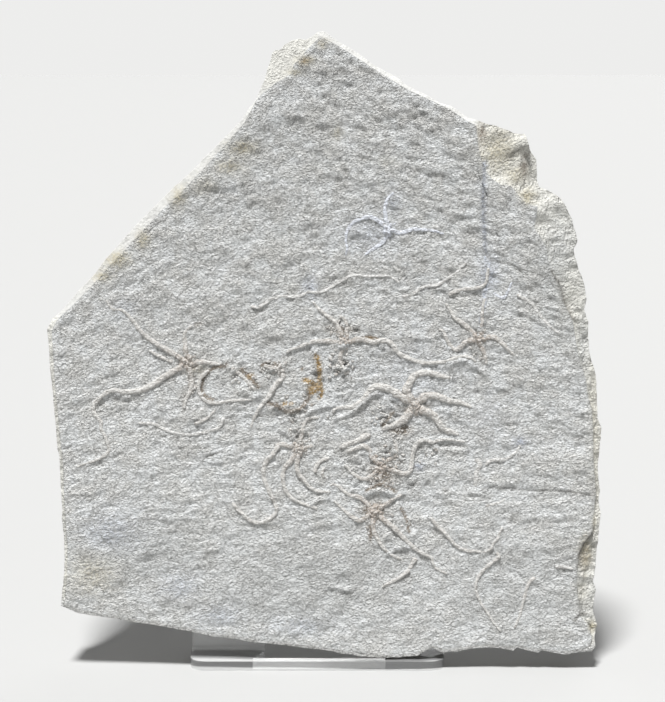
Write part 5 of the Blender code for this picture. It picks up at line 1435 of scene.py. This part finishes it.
def add_floor(colour):
    """A pale, even floor."""
    sides = np.array([(-1, -1), (1, -1), (1, 1), (-1, 1)]) * FLOOR_HALF
    floor = add_mesh("floor", np.pad(sides, ((0, 0), (0, 1))), np.array([[0, 1, 2, 3]]))
    paint = bpy.data.materials.new("floor_paint")
    paint.use_nodes = True
    set_inputs(paint.node_tree.nodes["Principled BSDF"],
               {"Base Color": (*colour, 1.0), "Roughness": 0.9})
    floor.data.materials.append(paint)


def add_camera(distance):
    """A camera straight in front of the leaning face."""
    middle = Vector(face_to_world(0.0, VIEW_MIDDLE, 0.0))
    outward = Vector((0.0, -math.cos(LEAN), math.sin(LEAN)))
    camera_data = bpy.data.cameras.new("camera")
    camera_data.sensor_fit = "HORIZONTAL"
    camera_data.sensor_width = SENSOR_WIDTH
    camera_data.lens = SENSOR_WIDTH * distance / VIEW_WIDTH
    camera = bpy.data.objects.new("camera", camera_data)
    camera.location = middle + outward * distance
    camera.rotation_euler = look_along(-outward)
    bpy.context.scene.collection.objects.link(camera)
    bpy.context.scene.camera = camera


def add_world():
    """Soft light from all round, and a brighter backdrop for the camera alone."""
    world = bpy.data.worlds.new("studio")
    world.use_nodes = True
    tree = world.node_tree
    soft, backdrop = tree.nodes["Background"], tree.nodes.new("ShaderNodeBackground")
    set_inputs(soft, {"Color": (1.0, 1.0, 1.0, 1.0), "Strength": 0.20})
    set_inputs(backdrop, {"Color": (1.0, 1.0, 0.99, 1.0), "Strength": 0.85})
    mix_by_ray(tree, "Is Camera Ray", soft, backdrop, "World Output")
    bpy.context.scene.world = world


class FOSSIL_OT_make_stage(bpy.types.Operator):
    """Make the floor, the lights and the camera"""
    bl_idname = "fossil.make_stage"
    bl_label = "Make stage"

    def execute(self, context):
        settings = context.scene.fossil_stage
        add_floor(settings.floor)
        add_camera(settings.camera_distance)
        add_light("key", KEY_FROM, KEY_SIZE, settings.key_strength)
        add_light("fill", *FILL)
        add_light("rear", *REAR)
        add_world()
        context.scene.view_settings.view_transform = "Standard"
        return {"FINISHED"}


class FOSSIL_PT_panel(bpy.types.Panel):
    """Sidebar panel with the settings and the makers"""
    bl_idname = "FOSSIL_PT_panel"
    bl_label = "Fossil slab"
    bl_space_type = "VIEW_3D"
    bl_region_type = "UI"
    bl_category = "Fossil"

    def draw(self, context):
        for group in SETTINGS:
            settings = getattr(context.scene, group)
            box = self.layout.box()
            for name in settings.__annotations__:
                box.prop(settings, name)
        for operator in OPERATORS:
            self.layout.operator(operator.bl_idname)


OPERATORS = (FOSSIL_OT_make_slab, FOSSIL_OT_make_stars, FOSSIL_OT_make_loose_arms,
             FOSSIL_OT_make_easel, FOSSIL_OT_make_stage)
SETTINGS = {"fossil_slab": SlabSettings, "fossil_animals": FossilSettings,
            "fossil_easel": EaselSettings, "fossil_stage": StageSettings}


def register():
    for name, group in SETTINGS.items():
        bpy.utils.register_class(group)
        setattr(bpy.types.Scene, name, bpy.props.PointerProperty(type=group))
    for operator in OPERATORS:
        bpy.utils.register_class(operator)
    bpy.utils.register_class(FOSSIL_PT_panel)


def unregister():
    bpy.utils.unregister_class(FOSSIL_PT_panel)
    for operator in reversed(OPERATORS):
        bpy.utils.unregister_class(operator)
    for name, group in reversed(SETTINGS.items()):
        delattr(bpy.types.Scene, name)
        bpy.utils.unregister_class(group)


def main():
    register()
    bpy.ops.fossil.make_slab()
    bpy.ops.fossil.make_stars()
    bpy.ops.fossil.make_loose_arms()
    bpy.ops.fossil.make_easel()
    bpy.ops.fossil.make_stage()


if __name__ == "__main__":
    main()
